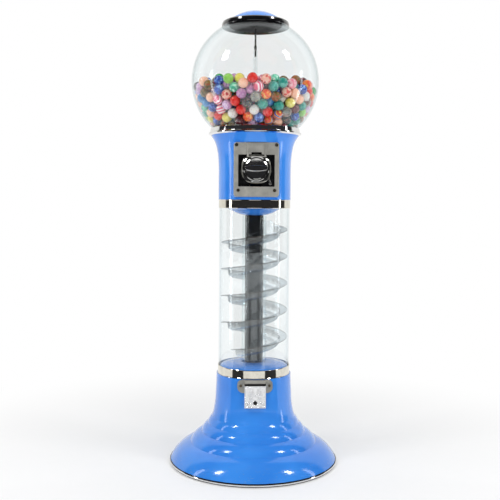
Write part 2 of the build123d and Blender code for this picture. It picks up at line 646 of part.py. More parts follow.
with BuildPart() as head_shell:
    head_solid(0)
    boss(0)
    add(head_space.part, mode=Mode.SUBTRACT)
    front_block(PLATE_W + 1.2, PLATE_H + 1.2, PLATE_Z, PLATE_BACK, 140, mode=Mode.SUBTRACT)
    front_block(WINDOW_W + 5, 98, 785.3, 90, 110, mode=Mode.SUBTRACT)
    front_discs(SCREW_PLACES, 2.5, 90, 110, mode=Mode.SUBTRACT)
    turned([(0, HEAD_TOP - 1.5), (117.5, HEAD_TOP - 1.5), (117.5, HEAD_TOP + 1), (0, HEAD_TOP + 1)],
           mode=Mode.SUBTRACT)
    with BuildSketch(Plane.XY.offset(HEAD_FLOOR - 1)) as floor_holes:
        Circle(POST_R + 0.1)
        with Locations((drop_x, drop_y)):
            Circle(DROP_BORE + 1.8)
        with PolarLocations(FLANGE_SCREW_R, FLANGE_SCREWS, start_angle=45):
            Circle(2.05)
    extrude(floor_holes.sketch, amount=HEAD_FLOOR_SHEET + 2, mode=Mode.SUBTRACT)
head_shell.part.label = "head_shell"
export_step(head_shell.part, "parts/head_shell.step")

# ------------------------------------------------------------------ coin mechanism
WINDOW_TOP = WINDOW_Z + WINDOW_H / 2
RIDGE_X = 22.9
LIP_Z = 818.2
LIP_H = 2.0
SLOT_W = 27.0
SLOT_H = 6.0
HOUSING_W = WINDOW_W + 4
HOUSING_BOTTOM = 737.6
HOUSING_TOP = 833.0
HOUSING_H = HOUSING_TOP - HOUSING_BOTTOM
HOUSING_Z = (HOUSING_TOP + HOUSING_BOTTOM) / 2
PAN_BACK = 88.0
PAN_SEAT = 90.5
CARRIER_FRONT = 94.0
CARRIER_BACK = 91.0
CARRIER_R = 38.0
RATCHET_TEETH = 24
TOOTH_DEPTH = 2.4
PAWL_X = 37.0
PAWL_Z = 748.0

with BuildPart() as mech_face_plate:
    front_block(PLATE_W, PLATE_H, PLATE_Z, PLATE_BACK, PLATE_FRONT, 8)
    chamfer(mech_face_plate.faces().sort_by(Axis.Y)[0].edges(), 1.4)
    for side in (-1, 1):
        with BuildSketch(Plane.XZ.offset(PLATE_FRONT - 0.2)) as ridge:
            with Locations((side * RIDGE_X, 838.5)):
                Rectangle(4.4, 30)
        extrude(ridge.sketch, amount=2.4, taper=18)
    front_discs([(33, 830)], 2.4, PLATE_FRONT - 0.2, PLATE_FRONT + 0.9)
    front_block(WINDOW_W, WINDOW_H, WINDOW_Z, 90, 120, 2, mode=Mode.SUBTRACT)
    front_block(SLOT_W, SLOT_H + 2, WINDOW_TOP + SLOT_H / 2 - 1, 90, PLATE_FRONT + 3, mode=Mode.SUBTRACT)
    front_block(2 * RIDGE_X - 5.6, 30, 838, PLATE_FRONT - 0.8, PLATE_FRONT + 1, mode=Mode.SUBTRACT)
    front_discs(SCREW_PLACES, 2.5, 90, 120, mode=Mode.SUBTRACT)
    front_discs(SCREW_PLACES, 4.6, PLATE_FRONT - 2, PLATE_FRONT + 1, mode=Mode.SUBTRACT)
    # The lower lip of the coin slot hangs from the two ridges, in front of the handle.
    front_block(2 * RIDGE_X + 4.4, LIP_H, LIP_Z, PLATE_FRONT - 0.6, PLATE_FRONT + 1.8)
    with BuildSketch(Plane.XZ.offset(PLATE_FRONT - 0.6)) as legs:
        with Locations((-RIDGE_X, (WINDOW_TOP + LIP_Z) / 2), (RIDGE_X, (WINDOW_TOP + LIP_Z) / 2)):
            Rectangle(4.4, WINDOW_TOP - LIP_Z + 3)
    extrude(legs.sketch, amount=2.4)
mech_face_plate.part.label = "mech_face_plate"
export_step(mech_face_plate.part, "parts/mech_face_plate.step")

with BuildPart() as front_screws:
    front_discs(EAR_SCREWS, 1.6, 88, 100.3)
    front_discs(EAR_SCREWS, 3.4, 100.3, 102)
    front_discs(SCREW_PLACES, 4.3, PLATE_FRONT - 2, PLATE_FRONT - 0.5)
    front_discs(SCREW_PLACES, 2.4, 92, PLATE_FRONT - 2)
    with BuildSketch(Plane.XZ.offset(PLATE_FRONT - 1.3)) as slots:
        with Locations(*SCREW_PLACES):
            Rectangle(5.2, 1.1, rotation=35)
            Rectangle(1.1, 5.2, rotation=35)
    extrude(slots.sketch, amount=2, mode=Mode.SUBTRACT)
front_screws.part.label = "front_screws"
export_step(front_screws.part, "parts/front_screws.step")

with BuildPart() as mech_housing:
    front_block(HOUSING_W, HOUSING_H, HOUSING_Z, PAN_BACK, PLATE_BACK, 3)
    front_block(HOUSING_W - 4, HOUSING_H - 4, HOUSING_Z, PAN_SEAT, PLATE_BACK + 1, 2, mode=Mode.SUBTRACT)
    front_block(SLOT_W + 2, 13, 747.5, 80, 92, 1, mode=Mode.SUBTRACT)
    front_discs([(0, SHAFT_Z)], 6.5, 80, 92, mode=Mode.SUBTRACT)
    front_discs([(PAWL_X, PAWL_Z)], 1.5, 80, 92, mode=Mode.SUBTRACT)
mech_housing.part.label = "mech_housing"
export_step(mech_housing.part, "parts/mech_housing.step")

with BuildPart() as shaft_bush:
    front_discs([(0, SHAFT_Z)], 6.45, 83, PAN_SEAT)
    front_discs([(0, SHAFT_Z)], SHAFT_R + 0.05, 80, 92, mode=Mode.SUBTRACT)
shaft_bush.part.label = "shaft_bush"
export_step(shaft_bush.part, "parts/shaft_bush.step")

SHAFT_AXIS = Axis((0, 0, SHAFT_Z), (0, 1, 0))
GRIP_L = 58.0
GRIP_MID = 17.0
GRIP_END = 10.0
GRIP_FRONT = 114.0


def grip_outline(inset):
    """Adds the grip's face, bowed at top and bottom, to the active sketch."""
    half = GRIP_L / 2 - inset
    end = GRIP_END / 2 - inset * 0.6
    middle = GRIP_MID / 2 - inset
    with BuildLine() as outline:
        ThreePointArc((-half, SHAFT_Z + end), (0, SHAFT_Z + middle), (half, SHAFT_Z + end))
        Line((half, SHAFT_Z + end), (half, SHAFT_Z - end))
        ThreePointArc((half, SHAFT_Z - end), (0, SHAFT_Z - middle), (-half, SHAFT_Z - end))
        Line((-half, SHAFT_Z - end), (-half, SHAFT_Z + end))
    make_face(outline.edges())


with BuildPart() as mech_handle:
    with BuildSketch(Plane.XY.offset(SHAFT_Z)) as dish:
        with BuildLine():
            Polyline((0, -94.5), (HANDLE_R, -94.5), (HANDLE_R, -96), (35.2, -100.7), (33.4, -103),
                     (32, -103.6), (29.5, -102.2), (26.5, -99.8))
            ThreePointArc((26.5, -99.8), (13, -98.9), (0, -98.6))
            Line((0, -98.6), (0, -94.5))
        make_face()
    revolve(dish.sketch, axis=SHAFT_AXIS)
    with BuildSketch(Plane.XZ.offset(98)) as grip:
        grip_outline(0)
    extrude(grip.sketch, amount=GRIP_FRONT - 98, taper=3)
    fillet(mech_handle.faces().sort_by(Axis.Y)[0].edges(), 1.2)
    with BuildSketch(Plane.XZ.offset(GRIP_FRONT - 0.8)) as panel:
        grip_outline(3.2)
    extrude(panel.sketch, amount=2, mode=Mode.SUBTRACT)
    front_block(36, 4, SHAFT_Z, GRIP_FRONT - 1, GRIP_FRONT - 0.1, 1.8)
    front_discs([(0, SHAFT_Z)], SHAFT_R + 0.02, 90, 98, mode=Mode.SUBTRACT)
mech_handle.part.label = "mech_handle"
export_step(mech_handle.part, "parts/mech_handle.step")

with BuildPart() as handle_shaft:
    front_discs([(0, SHAFT_Z)], SHAFT_R, 66, 98)
handle_shaft.part.label = "handle_shaft"
export_step(handle_shaft.part, "parts/handle_shaft.step")

tooth_step = 360 / RATCHET_TEETH
valley_r = CARRIER_R - TOOTH_DEPTH
ratchet_tooth = polygon_face([(valley_r - 1, 0), (CARRIER_R, 0), polar(valley_r, 1 - tooth_step),
                              polar(valley_r - 1, 1 - tooth_step)])

with BuildPart() as coin_carrier:
    with BuildSketch(Plane.XZ.offset(CARRIER_BACK)) as disc:
        with Locations((0, SHAFT_Z)):
            Circle(valley_r)
            with PolarLocations(0, RATCHET_TEETH):
                add(ratchet_tooth)
            with Locations((0, 27)):
                Circle(COIN_R + 0.3, mode=Mode.SUBTRACT)
            with Locations((0, 36)):
                Rectangle(2 * COIN_R + 0.6, 18, mode=Mode.SUBTRACT)
            Circle(SHAFT_R + 0.02, mode=Mode.SUBTRACT)
    extrude(disc.sketch, amount=CARRIER_FRONT - CARRIER_BACK)
coin_carrier.part.label = "coin_carrier"
export_step(coin_carrier.part, "parts/coin_carrier.step")

# The pawl falls into a valley just past a steep tooth face, so only a clockwise turn is free.
# It is drawn held off the teeth, turned back by PAWL_LIFT from where it engages.
PAWL_TIP_R = 36.5
PAWL_TIP_ANGLE = -43.0
PAWL_LIFT = 19.5
tip_x, tip_z = polar(PAWL_TIP_R, PAWL_TIP_ANGLE)
pawl_rise = SHAFT_Z + tip_z - PAWL_Z
pawl_reach = sqrt((tip_x - PAWL_X) ** 2 + pawl_rise ** 2)
pawl_angle = degrees(atan2(pawl_rise, tip_x - PAWL_X)) - PAWL_LIFT
pawl_arm = polygon_face([(0, -3), (pawl_reach * 0.7, -1.6), (pawl_reach, -0.6), (pawl_reach, 0.6),
                         (pawl_reach * 0.7, 1.6), (0, 3.2)])

with BuildPart() as ratchet_pawl:
    with BuildSketch(Plane.XZ.offset(CARRIER_BACK + 0.2)) as lever:
        with Locations((PAWL_X, PAWL_Z)):
            Circle(4)
        with Locations(Location((PAWL_X, PAWL_Z, 0), (0, 0, pawl_angle))):
            add(pawl_arm)
        with Locations((PAWL_X, PAWL_Z)):
            Circle(1.56, mode=Mode.SUBTRACT)
    extrude(lever.sketch, amount=2.2)
ratchet_pawl.part.label = "ratchet_pawl"
export_step(ratchet_pawl.part, "parts/ratchet_pawl.step")

with BuildPart() as pawl_screw:
    front_discs([(PAWL_X, PAWL_Z)], 1.5, PAN_BACK - 1, 94)
    front_discs([(PAWL_X, PAWL_Z)], 3.2, 96.4, 98)
    front_discs([(PAWL_X, PAWL_Z)], 1.5, 94, 96.4)
pawl_screw.part.label = "pawl_screw"
export_step(pawl_screw.part, "parts/pawl_screw.step")

SPRING_COIL_R = 2.5
SPRING_WIRE_R = 0.35
spring_path = Pos(PAWL_X, -93.9, PAWL_Z) * Rot(90, 0, 0) * Helix(
    pitch=0.85, height=1.7, radius=SPRING_COIL_R, mode=Mode.PRIVATE)

with BuildPart() as pawl_spring:
    with BuildSketch(Plane(spring_path @ 0, z_dir=spring_path % 0)) as wire:
        Circle(SPRING_WIRE_R)
    sweep(wire.sketch, spring_path, is_frenet=True)
pawl_spring.part.label = "pawl_spring"
export_step(pawl_spring.part, "parts/pawl_spring.step")


def gear_tooth(root, tip, embed):
    """Corners of one straight-sided tooth that points along local +x."""
    return [(root - embed, -1.25), (root, -1.25), (tip, -0.6), (tip, 0.6), (root, 1.25),
            (root - embed, 1.25)]


pinion_tooth = polygon_face(gear_tooth(PINION_PITCH_R - DEDENDUM, PINION_PITCH_R + ADDENDUM, 1))

with BuildPart() as drive_pinion:
    with BuildSketch(Plane.XZ.offset(CROWN_R - FACE_WIDTH / 2)) as gear:
        with Locations((0, SHAFT_Z)):
            Circle(PINION_PITCH_R - DEDENDUM)
            with PolarLocations(0, PINION_TEETH, start_angle=90 + 180 / PINION_TEETH):
                add(pinion_tooth)
            Circle(SHAFT_R + 0.02, mode=Mode.SUBTRACT)
    extrude(gear.sketch, amount=FACE_WIDTH)
drive_pinion.part.label = "drive_pinion"
export_step(drive_pinion.part, "parts/drive_pinion.step")

with BuildPart() as shaft_nut:
    with BuildSketch(Plane.XZ.offset(67.5)) as nut:
        with Locations((0, SHAFT_Z)):
            RegularPolygon(8, 6)
            Circle(SHAFT_R + 0.02, mode=Mode.SUBTRACT)
    extrude(nut.sketch, amount=4.5)
shaft_nut.part.label = "shaft_nut"
export_step(shaft_nut.part, "parts/shaft_nut.step")

COIN_CHUTE_W = 33.0

with BuildPart() as coin_chute:
    with BuildSketch(Plane.YZ.offset(-COIN_CHUTE_W / 2)) as side_view:
        with BuildLine():
            Polyline((-87.6, 736), (-87.6, 756), (-14, 736), (4, 730), (4, 716.5), (-16, 716.5), close=True)
        make_face()
    extrude(side_view.sketch, amount=COIN_CHUTE_W)
    with BuildSketch(Plane.YZ.offset(-COIN_CHUTE_W / 2 + 1.5)) as hollow:
        with BuildLine():
            Polyline((-95, 739.5), (-95, 770), (2.5, 770), (2.5, 700), (-15, 700), (-15, 718.5), close=True)
        make_face()
    extrude(hollow.sketch, amount=COIN_CHUTE_W - 3, mode=Mode.SUBTRACT)
coin_chute.part.label = "coin_chute"
export_step(coin_chute.part, "parts/coin_chute.step")

# ------------------------------------------------------------------ dispensing wheel
with BuildPart() as wheel_pan:
    turned([(AXLE_R + 0.1, PAN_FLOOR), (84.5, PAN_FLOOR), (84.5, PAN_TOP), (82.5, PAN_TOP),
            (82.5, PAN_FLOOR + 2.5), (AXLE_R + 0.1, PAN_FLOOR + 2.5)])
    with BuildSketch(Plane.XY.offset(PAN_FLOOR - 1)) as floor_holes:
        with Locations((drop_x, drop_y)):
            Circle(DROP_BORE)
        with Locations((0, 3 - CROWN_R)):
            Rectangle(33, 17)
    extrude(floor_holes.sketch, amount=5, mode=Mode.SUBTRACT)
wheel_pan.part.label = "wheel_pan"
export_step(wheel_pan.part, "parts/wheel_pan.step")

with BuildPart() as wheel_axle:
    turned([(0, PAN_FLOOR - 4), (14, PAN_FLOOR - 4), (14, PAN_FLOOR), (AXLE_R, PAN_FLOOR),
            (AXLE_R, 842), (0, 842)])
wheel_axle.part.label = "wheel_axle"
export_step(wheel_axle.part, "parts/wheel_axle.step")

CROWN_BACK = SHAFT_Z + PINION_PITCH_R + DEDENDUM
CROWN_TOP = 804.5
CROWN_IN = CROWN_R - FACE_WIDTH / 2
WHEEL_BOTTOM = 798.0
POCKET_START = DROP_ANGLE - 180 / POCKETS

with BuildPart() as dispensing_wheel:
    turned([(AXLE_R + 0.06, WHEEL_BOTTOM), (CROWN_IN - 1.5, WHEEL_BOTTOM), (CROWN_IN - 1.5, CROWN_TOP),
            (WHEEL_R, CROWN_TOP), (WHEEL_R, WHEEL_TOP), (AXLE_R + 0.06, WHEEL_TOP)])
    with BuildSketch(Plane.XY.offset(WHEEL_BOTTOM - 1)) as pockets:
        with PolarLocations(DROP_R, POCKETS, start_angle=POCKET_START):
            Circle(POCKET_R)
    extrude(pockets.sketch, amount=WHEEL_TOP - WHEEL_BOTTOM + 2, mode=Mode.SUBTRACT)
dispensing_wheel.part.label = "dispensing_wheel"
export_step(dispensing_wheel.part, "parts/dispensing_wheel.step")

with BuildPart() as crown_gear:
    turned([(CROWN_IN, CROWN_BACK), (CROWN_IN + FACE_WIDTH, CROWN_BACK), (CROWN_IN + FACE_WIDTH, CROWN_TOP),
            (CROWN_IN, CROWN_TOP)])
    with BuildSketch(Plane.YZ.offset(CROWN_IN)) as tooth:
        with BuildLine():
            Polyline(*[(y, CROWN_BACK - (x - 10)) for x, y in gear_tooth(10, 10 + ADDENDUM + DEDENDUM, 0.5)],
                     close=True)
        make_face()
    crown_tooth = extrude(tooth.sketch, amount=FACE_WIDTH, mode=Mode.PRIVATE)
    with PolarLocations(0, CROWN_TEETH, start_angle=270):
        add(crown_tooth)
crown_gear.part.label = "crown_gear"
export_step(crown_gear.part, "parts/crown_gear.step")

with BuildPart() as agitator:
    with BuildSketch(Plane.XY.offset(WHEEL_TOP)):
        Circle(15)
        Circle(AXLE_R + 0.4, mode=Mode.SUBTRACT)
    extrude(amount=5)
    with BuildSketch(Plane.XY.offset(WHEEL_TOP)) as fins:
        with PolarLocations(22, 3, start_angle=50):
            Rectangle(18, 3)
    extrude(fins.sketch, amount=12, taper=4)
agitator.part.label = "agitator"
export_step(agitator.part, "parts/agitator.step")

with BuildPart() as brush_housing:
    with BuildSketch(Plane.XY.offset(WHEEL_TOP + 0.9)) as cover:
        sector(38, 82.4, DROP_ANGLE - 20, 39)
    extrude(cover.sketch, amount=2)
    with BuildSketch(Plane.XY.offset(WHEEL_TOP + 0.9)) as rib:
        sector(38, 79.5, DROP_ANGLE - 22, 3)
    extrude(rib.sketch, amount=13)
brush_housing.part.label = "brush_housing"
export_step(brush_housing.part, "parts/brush_housing.step")

with BuildPart() as brush:
    with BuildSketch(Plane.XY.offset(WHEEL_TOP + 0.8)) as bristles:
        sector(38.5, 72, DROP_ANGLE - 25.5, 3.3)
    extrude(bristles.sketch, amount=12)
brush.part.label = "brush"
export_step(brush.part, "parts/brush.step")

with BuildPart() as ball_drop_tube:
    with BuildSketch(Plane.XY.offset(682)) as drop:
        with Locations((drop_x, drop_y)):
            Circle(DROP_BORE + 1.5)
            Circle(DROP_BORE, mode=Mode.SUBTRACT)
    extrude(drop.sketch, amount=PAN_FLOOR - 682)
ball_drop_tube.part.label = "ball_drop_tube"
export_step(ball_drop_tube.part, "parts/ball_drop_tube.step")

HOPPER_SHEET = 2.0

with BuildPart() as hopper:
    turned([(80.5, PAN_TOP), (84.5, PAN_TOP), (105, HEAD_TOP - 4),
            (106, HEAD_TOP - 1.5), (117.3, HEAD_TOP - 1.5),
            (117.3, HEAD_TOP), (103, HEAD_TOP)])
hopper.part.label = "hopper"
export_step(hopper.part, "parts/hopper.step")

# ------------------------------------------------------------------ globe and lid
NECK_IN = 114.6
NECK_OUT = 117.8
GLOBE_FOOT = 884.5
inner_r = GLOBE_R - GLOBE_WALL


def sphere_height(radius, r, above):
    """Height of a sphere about the globe's centre at distance r from the axis."""
    rise = sqrt(radius ** 2 - r ** 2)
    return GLOBE_Z + rise if above else GLOBE_Z - rise


with BuildPart() as globe_ring:
    turned([(103.5, HEAD_TOP), (120, HEAD_TOP), (125.4, 882.6), (126, 883.6), (126, 886.4), (125.2, 887.2),
            (122.6, 887.8), (120.8, 898.4), (120, 899.4), (118.8, 899.4), (118.2, 898.6), (118.2, 882.4),
            (103.5, 882.4)])
globe_ring.part.label = "globe_ring"
export_step(globe_ring.part, "parts/globe_ring.step")

with BuildPart() as globe_gasket:
    turned([(110, 882.4), (118.1, 882.4), (118.1, GLOBE_FOOT), (110, GLOBE_FOOT)])
globe_gasket.part.label = "globe_gasket"
export_step(globe_gasket.part, "parts/globe_gasket.step")

collar_out = MOUTH_R + GLOBE_WALL

with BuildPart() as globe:
    outer_low = sphere_height(GLOBE_R, NECK_OUT, False)
    outer_high = sphere_height(GLOBE_R, collar_out, True)
    inner_low = sphere_height(inner_r, NECK_IN, False)
    inner_high = sphere_height(inner_r, MOUTH_R, True)
    turned_edges([
        Line((NECK_IN, GLOBE_FOOT), (NECK_OUT, GLOBE_FOOT)),
        Line((NECK_OUT, GLOBE_FOOT), (NECK_OUT, outer_low)),
        ThreePointArc((NECK_OUT, outer_low), (GLOBE_R, GLOBE_Z), (collar_out, outer_high)),
        Line((collar_out, outer_high), (collar_out, MOUTH_TOP)),
        Line((collar_out, MOUTH_TOP), (MOUTH_R, MOUTH_TOP)),
        Line((MOUTH_R, MOUTH_TOP), (MOUTH_R, inner_high)),
        ThreePointArc((MOUTH_R, inner_high), (inner_r, GLOBE_Z), (NECK_IN, inner_low)),
        Line((NECK_IN, inner_low), (NECK_IN, GLOBE_FOOT))])
globe.part.label = "globe"
export_step(globe.part, "parts/globe.step")

ROD_R = 2.5
ROD_FOOT = 1096.0
TIP_Z = 1114.5
TUBE_TOP = 1113.8

with BuildPart() as lid_ring:
    turned([(76.4, 1183.9), (84, 1180.2), (91.6, 1175.4), (92, 1176.4), (92, 1182), (90.6, 1187),
            (87, 1189.8), (82, LID_CAP_FOOT), (75.7, LID_CAP_FOOT), (75.7, 1187.2), (76.4, 1187.2)])
lid_ring.part.label = "lid_ring"
export_step(lid_ring.part, "parts/lid_ring.step")

with BuildPart() as lid_liner:
    turned([(ROD_R + 0.1, 1177), (69.5, 1177), (69.5, 1186.4), (75.4, 1186.4), (75.4, 1190.2), (67.5, 1190.2),
            (67.5, 1179), (ROD_R + 0.1, 1179)])
lid_liner.part.label = "lid_liner"
export_step(lid_liner.part, "parts/lid_liner.step")

LOCK_CORE_R = 8.0
CAP_TOP = 1219.3
CAP_SHEET = 2.5


def cap_curve(rim, foot, top):
    """Arc of the lid's dome and its ends, from the lock bore to the rim."""
    rise = top - foot
    ball = (rim ** 2 + rise ** 2) / (2 * rise)
    bore = LOCK_CORE_R + 0.06

    def height(r):
        return top - ball + sqrt(ball ** 2 - r ** 2)
    return ThreePointArc((bore, height(bore)), (rim / 2, height(rim / 2)), (rim, foot))


with BuildPart() as lid_dome:
    outside = cap_curve(LID_CAP_R, LID_CAP_FOOT, CAP_TOP)
    inside = cap_curve(LID_CAP_R - 4, LID_CAP_FOOT, CAP_TOP - CAP_SHEET)
    turned_edges([outside, inside, Line(outside @ 0, inside @ 0), Line(outside @ 1, inside @ 1)])
lid_dome.part.label = "lid_dome"
export_step(lid_dome.part, "parts/lid_dome.step")

with BuildPart() as lid_lock:
    with BuildSketch(Plane.XY.offset(1200)):
        Circle(LOCK_CORE_R)
    extrude(amount=TOTAL_H - 1200)
    chamfer(lid_lock.faces().sort_by(Axis.Z)[-1].edges(), 0.5)
    with BuildSketch(Plane.XY.offset(TOTAL_H - 4)) as key_slot:
        Rectangle(1.6, 8)
    extrude(key_slot.sketch, amount=5, mode=Mode.SUBTRACT)
lid_lock.part.label = "lid_lock"
export_step(lid_lock.part, "parts/lid_lock.step")

with BuildPart() as lid_rod:
    turned([(0, ROD_FOOT), (ROD_R - 0.5, ROD_FOOT), (ROD_R, ROD_FOOT + 1), (ROD_R, TIP_Z), (4, TIP_Z),
            (4, TIP_Z + 10), (ROD_R, TIP_Z + 11), (ROD_R, 1199.5), (0, 1199.5)])
    with BuildSketch(Plane.XY.offset(1179)):
        RegularPolygon(6, 6)
    extrude(amount=4)
lid_rod.part.label = "lid_rod"
export_step(lid_rod.part, "parts/lid_rod.step")

with BuildPart() as center_tube:
    turned([(4.3, 842), (6.5, 842), (6.5, TUBE_TOP), (4.3, TUBE_TOP)])
center_tube.part.label = "center_tube"
export_step(center_tube.part, "parts/center_tube.step")

# The heap of balls as one body, clear of the wheel, the hopper and the globe.
HEAP_FOOT = 848.0
HEAP_EDGE = 1030.0
HEAP_MIDDLE = 1047.0

with BuildPart() as ball_fill:
    fill_r = inner_r - 0.6
    fill_low = sphere_height(fill_r, NECK_IN - 1, False)
    edge_r = sqrt(fill_r ** 2 - (HEAP_EDGE - GLOBE_Z) ** 2)
    walls = [(8, HEAP_FOOT), (86, HEAP_FOOT), (102.3, HEAP_FOOT + 33), (102.3, 886), (109, 886),
             (NECK_IN - 1, 890), (NECK_IN - 1, fill_low)]
    turned_edges([Line(low, high) for low, high in zip(walls, walls[1:])] + [
        ThreePointArc((NECK_IN - 1, fill_low), (sqrt(fill_r ** 2 - 60 ** 2), GLOBE_Z - 60),
                      (edge_r, HEAP_EDGE)),
        ThreePointArc((edge_r, HEAP_EDGE), (100, HEAP_MIDDLE - 4), (8, HEAP_MIDDLE)),
        Line((8, HEAP_MIDDLE), (8, HEAP_FOOT))])
ball_fill.part.label = "ball_fill"
export_step(ball_fill.part, "parts/ball_fill.step")
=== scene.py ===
import math

import bmesh
import bpy
import numpy as np
from mathutils import Matrix, Vector


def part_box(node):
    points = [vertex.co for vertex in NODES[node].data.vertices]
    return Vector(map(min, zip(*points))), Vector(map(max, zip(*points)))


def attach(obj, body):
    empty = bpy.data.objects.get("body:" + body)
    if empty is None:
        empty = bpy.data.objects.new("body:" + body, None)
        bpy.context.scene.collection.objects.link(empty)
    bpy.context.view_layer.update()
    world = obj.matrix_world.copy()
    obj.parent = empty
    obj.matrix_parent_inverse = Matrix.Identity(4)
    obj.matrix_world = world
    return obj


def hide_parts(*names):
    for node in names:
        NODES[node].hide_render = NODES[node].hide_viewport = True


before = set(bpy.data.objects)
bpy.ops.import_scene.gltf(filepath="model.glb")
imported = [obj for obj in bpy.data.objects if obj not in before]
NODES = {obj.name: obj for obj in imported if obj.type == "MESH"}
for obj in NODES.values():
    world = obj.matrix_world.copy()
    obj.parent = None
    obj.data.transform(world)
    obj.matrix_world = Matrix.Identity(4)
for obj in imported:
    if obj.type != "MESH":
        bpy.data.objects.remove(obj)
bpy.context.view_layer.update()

SCENE = bpy.context.scene
MACHINE = "machine"

# ------------------------------------------------------------------ camera
CAMERA_PLACE = Vector((-0.093, -2.128, 0.697))
CAMERA_PITCH = 90.0         # level; the view is lowered by the lens shift
CAMERA_SHIFT = -0.094
CAMERA_YAW = -2.17
CAMERA_ROLL = 0.35
CAMERA_LENS = 56.2


def make_camera():
    data = bpy.data.cameras.new("camera")
    data.lens = CAMERA_LENS
    data.sensor_width = 36.0
    data.shift_y = CAMERA_SHIFT
    data.clip_end = 60.0
    camera = bpy.data.objects.new("camera", data)
    SCENE.collection.objects.link(camera)
    camera.location = CAMERA_PLACE
    turn = Matrix.Rotation(math.radians(CAMERA_YAW), 4, "Z")
    tilt = Matrix.Rotation(math.radians(CAMERA_PITCH), 4, "X")
    roll = Matrix.Rotation(math.radians(CAMERA_ROLL), 4, "Z")
    camera.rotation_euler = (turn @ tilt @ roll).to_euler()
    SCENE.camera = camera


make_camera()
SCENE.view_settings.view_transform = "Standard"
SCENE.cycles.transparent_max_bounces = 64
SCENE.cycles.max_bounces = 16


# ------------------------------------------------------------------ material helpers
def linear(red, green, blue):
    """A colour given as 0-255 screen values, for a shader socket."""
    def one(value):
        value /= 255
        return value / 12.92 if value <= 0.04045 else ((value + 0.055) / 1.055) ** 2.4
    return (one(red), one(green), one(blue), 1.0)


class Surface:
    """A node material under construction. Patterns use the rest-frame coordinates of the piece."""

    def __init__(self, name):
        self.material = bpy.data.materials.new(name)
        self.material.use_nodes = True
        self.tree = self.material.node_tree
        self.tree.nodes.clear()
        self.output = self.add("ShaderNodeOutputMaterial")
        self.place = self.add("ShaderNodeTexCoord").outputs["Object"]

    def add(self, kind, **settings):
        node = self.tree.nodes.new(kind)
        for key, value in settings.items():
            setattr(node, key, value)
        return node

    def link(self, source, target):
        self.tree.links.new(source, target)

    def feed(self, socket, value):
        """Sets a socket to a number or colour, or links it to another node's output."""
        if isinstance(value, bpy.types.NodeSocket):
            self.link(value, socket)
        else:
            socket.default_value = value

    def principled(self, **inputs):
        node = self.add("ShaderNodeBsdfPrincipled")
        for name, value in inputs.items():
            self.feed(node.inputs[name.replace("_", " ")], value)
        return node

    def scaled(self, x, y, z, source=None):
        node = self.add("ShaderNodeMapping")
        self.feed(node.inputs["Vector"], source or self.place)
        node.inputs["Scale"].default_value = (x, y, z)
        return node.outputs["Vector"]

    def noise(self, scale, detail=3.0, roughness=0.55, vector=None, distortion=0.0, w=None):
        node = self.add("ShaderNodeTexNoise")
        if w is not None:
            node.noise_dimensions = "4D"
            self.feed(node.inputs["W"], w)
        self.feed(node.inputs["Vector"], vector or self.place)
        node.inputs["Scale"].default_value = scale
        node.inputs["Detail"].default_value = detail
        node.inputs["Roughness"].default_value = roughness
        node.inputs["Distortion"].default_value = distortion
        return node.outputs["Fac"]

    def cells(self, scale, feature="F1", vector=None, output="Distance"):
        node = self.add("ShaderNodeTexVoronoi", feature=feature)
        self.feed(node.inputs["Vector"], vector or self.place)
        node.inputs["Scale"].default_value = scale
        return node.outputs[output]

    def math(self, operation, a, b=0.0, clamp=False):
        node = self.add("ShaderNodeMath", operation=operation, use_clamp=clamp)
        self.feed(node.inputs[0], a)
        self.feed(node.inputs[1], b)
        return node.outputs[0]

    def between(self, value, low, high, to_low=0.0, to_high=1.0):
        """Maps low..high to to_low..to_high, smoothly and clamped."""
        node = self.add("ShaderNodeMapRange", interpolation_type="SMOOTHSTEP")
        self.feed(node.inputs["Value"], value)
        for name, number in (("From Min", low), ("From Max", high),
                             ("To Min", to_low), ("To Max", to_high)):
            node.inputs[name].default_value = number
        return node.outputs["Result"]

    def blend(self, factor, a, b, kind="MIX"):
        node = self.add("ShaderNodeMix", data_type="RGBA", blend_type=kind)
        self.feed(node.inputs["Factor"], factor)
        self.feed(node.inputs[6], a)
        self.feed(node.inputs[7], b)
        return node.outputs[2]

    def ramp(self, value, stops, interpolation="LINEAR"):
        node = self.add("ShaderNodeValToRGB")
        self.feed(node.inputs["Fac"], value)
        ramp = node.color_ramp
        ramp.interpolation = interpolation
        while len(ramp.elements) < len(stops):
            ramp.elements.new(0.5)
        for element, (position, colour) in zip(ramp.elements, stops):
            element.position = position
            element.color = colour
        return node.outputs["Color"]

    def bump(self, height, distance, strength=1.0, normal=None):
        node = self.add("ShaderNodeBump")
        self.feed(node.inputs["Height"], height)
        node.inputs["Distance"].default_value = distance
        node.inputs["Strength"].default_value = strength
        if normal is not None:
            self.link(normal, node.inputs["Normal"])
        return node.outputs["Normal"]

    def axes(self):
        """The x, y and z of the rest-frame position, and the distance from the machine's axis."""
        split = self.add("ShaderNodeSeparateXYZ")
        self.link(self.place, split.inputs[0])
        x, y, z = split.outputs
        squares = self.math("MULTIPLY", x, x), self.math("MULTIPLY", y, y)
        radius = self.math("SQRT", self.math("ADD", *squares))
        return x, y, z, radius

    def z_part(self, vector):
        split = self.add("ShaderNodeSeparateXYZ")
        self.link(vector, split.inputs[0])
        return split.outputs[2]

    def done(self, shader):
        self.link(shader, self.output.inputs["Surface"])
        return self.material


def paint(name, *nodes):
    """Gives the named CAD nodes a material."""
    for node in nodes:
        slots = NODES[node].data.materials
        if not slots:
            slots.append(name)
        for index in range(len(slots)):
            slots[index] = name


# ------------------------------------------------------------------ materials
BLUE = linear(60, 140, 232)
BLUE_DEEP = linear(50, 128, 222)


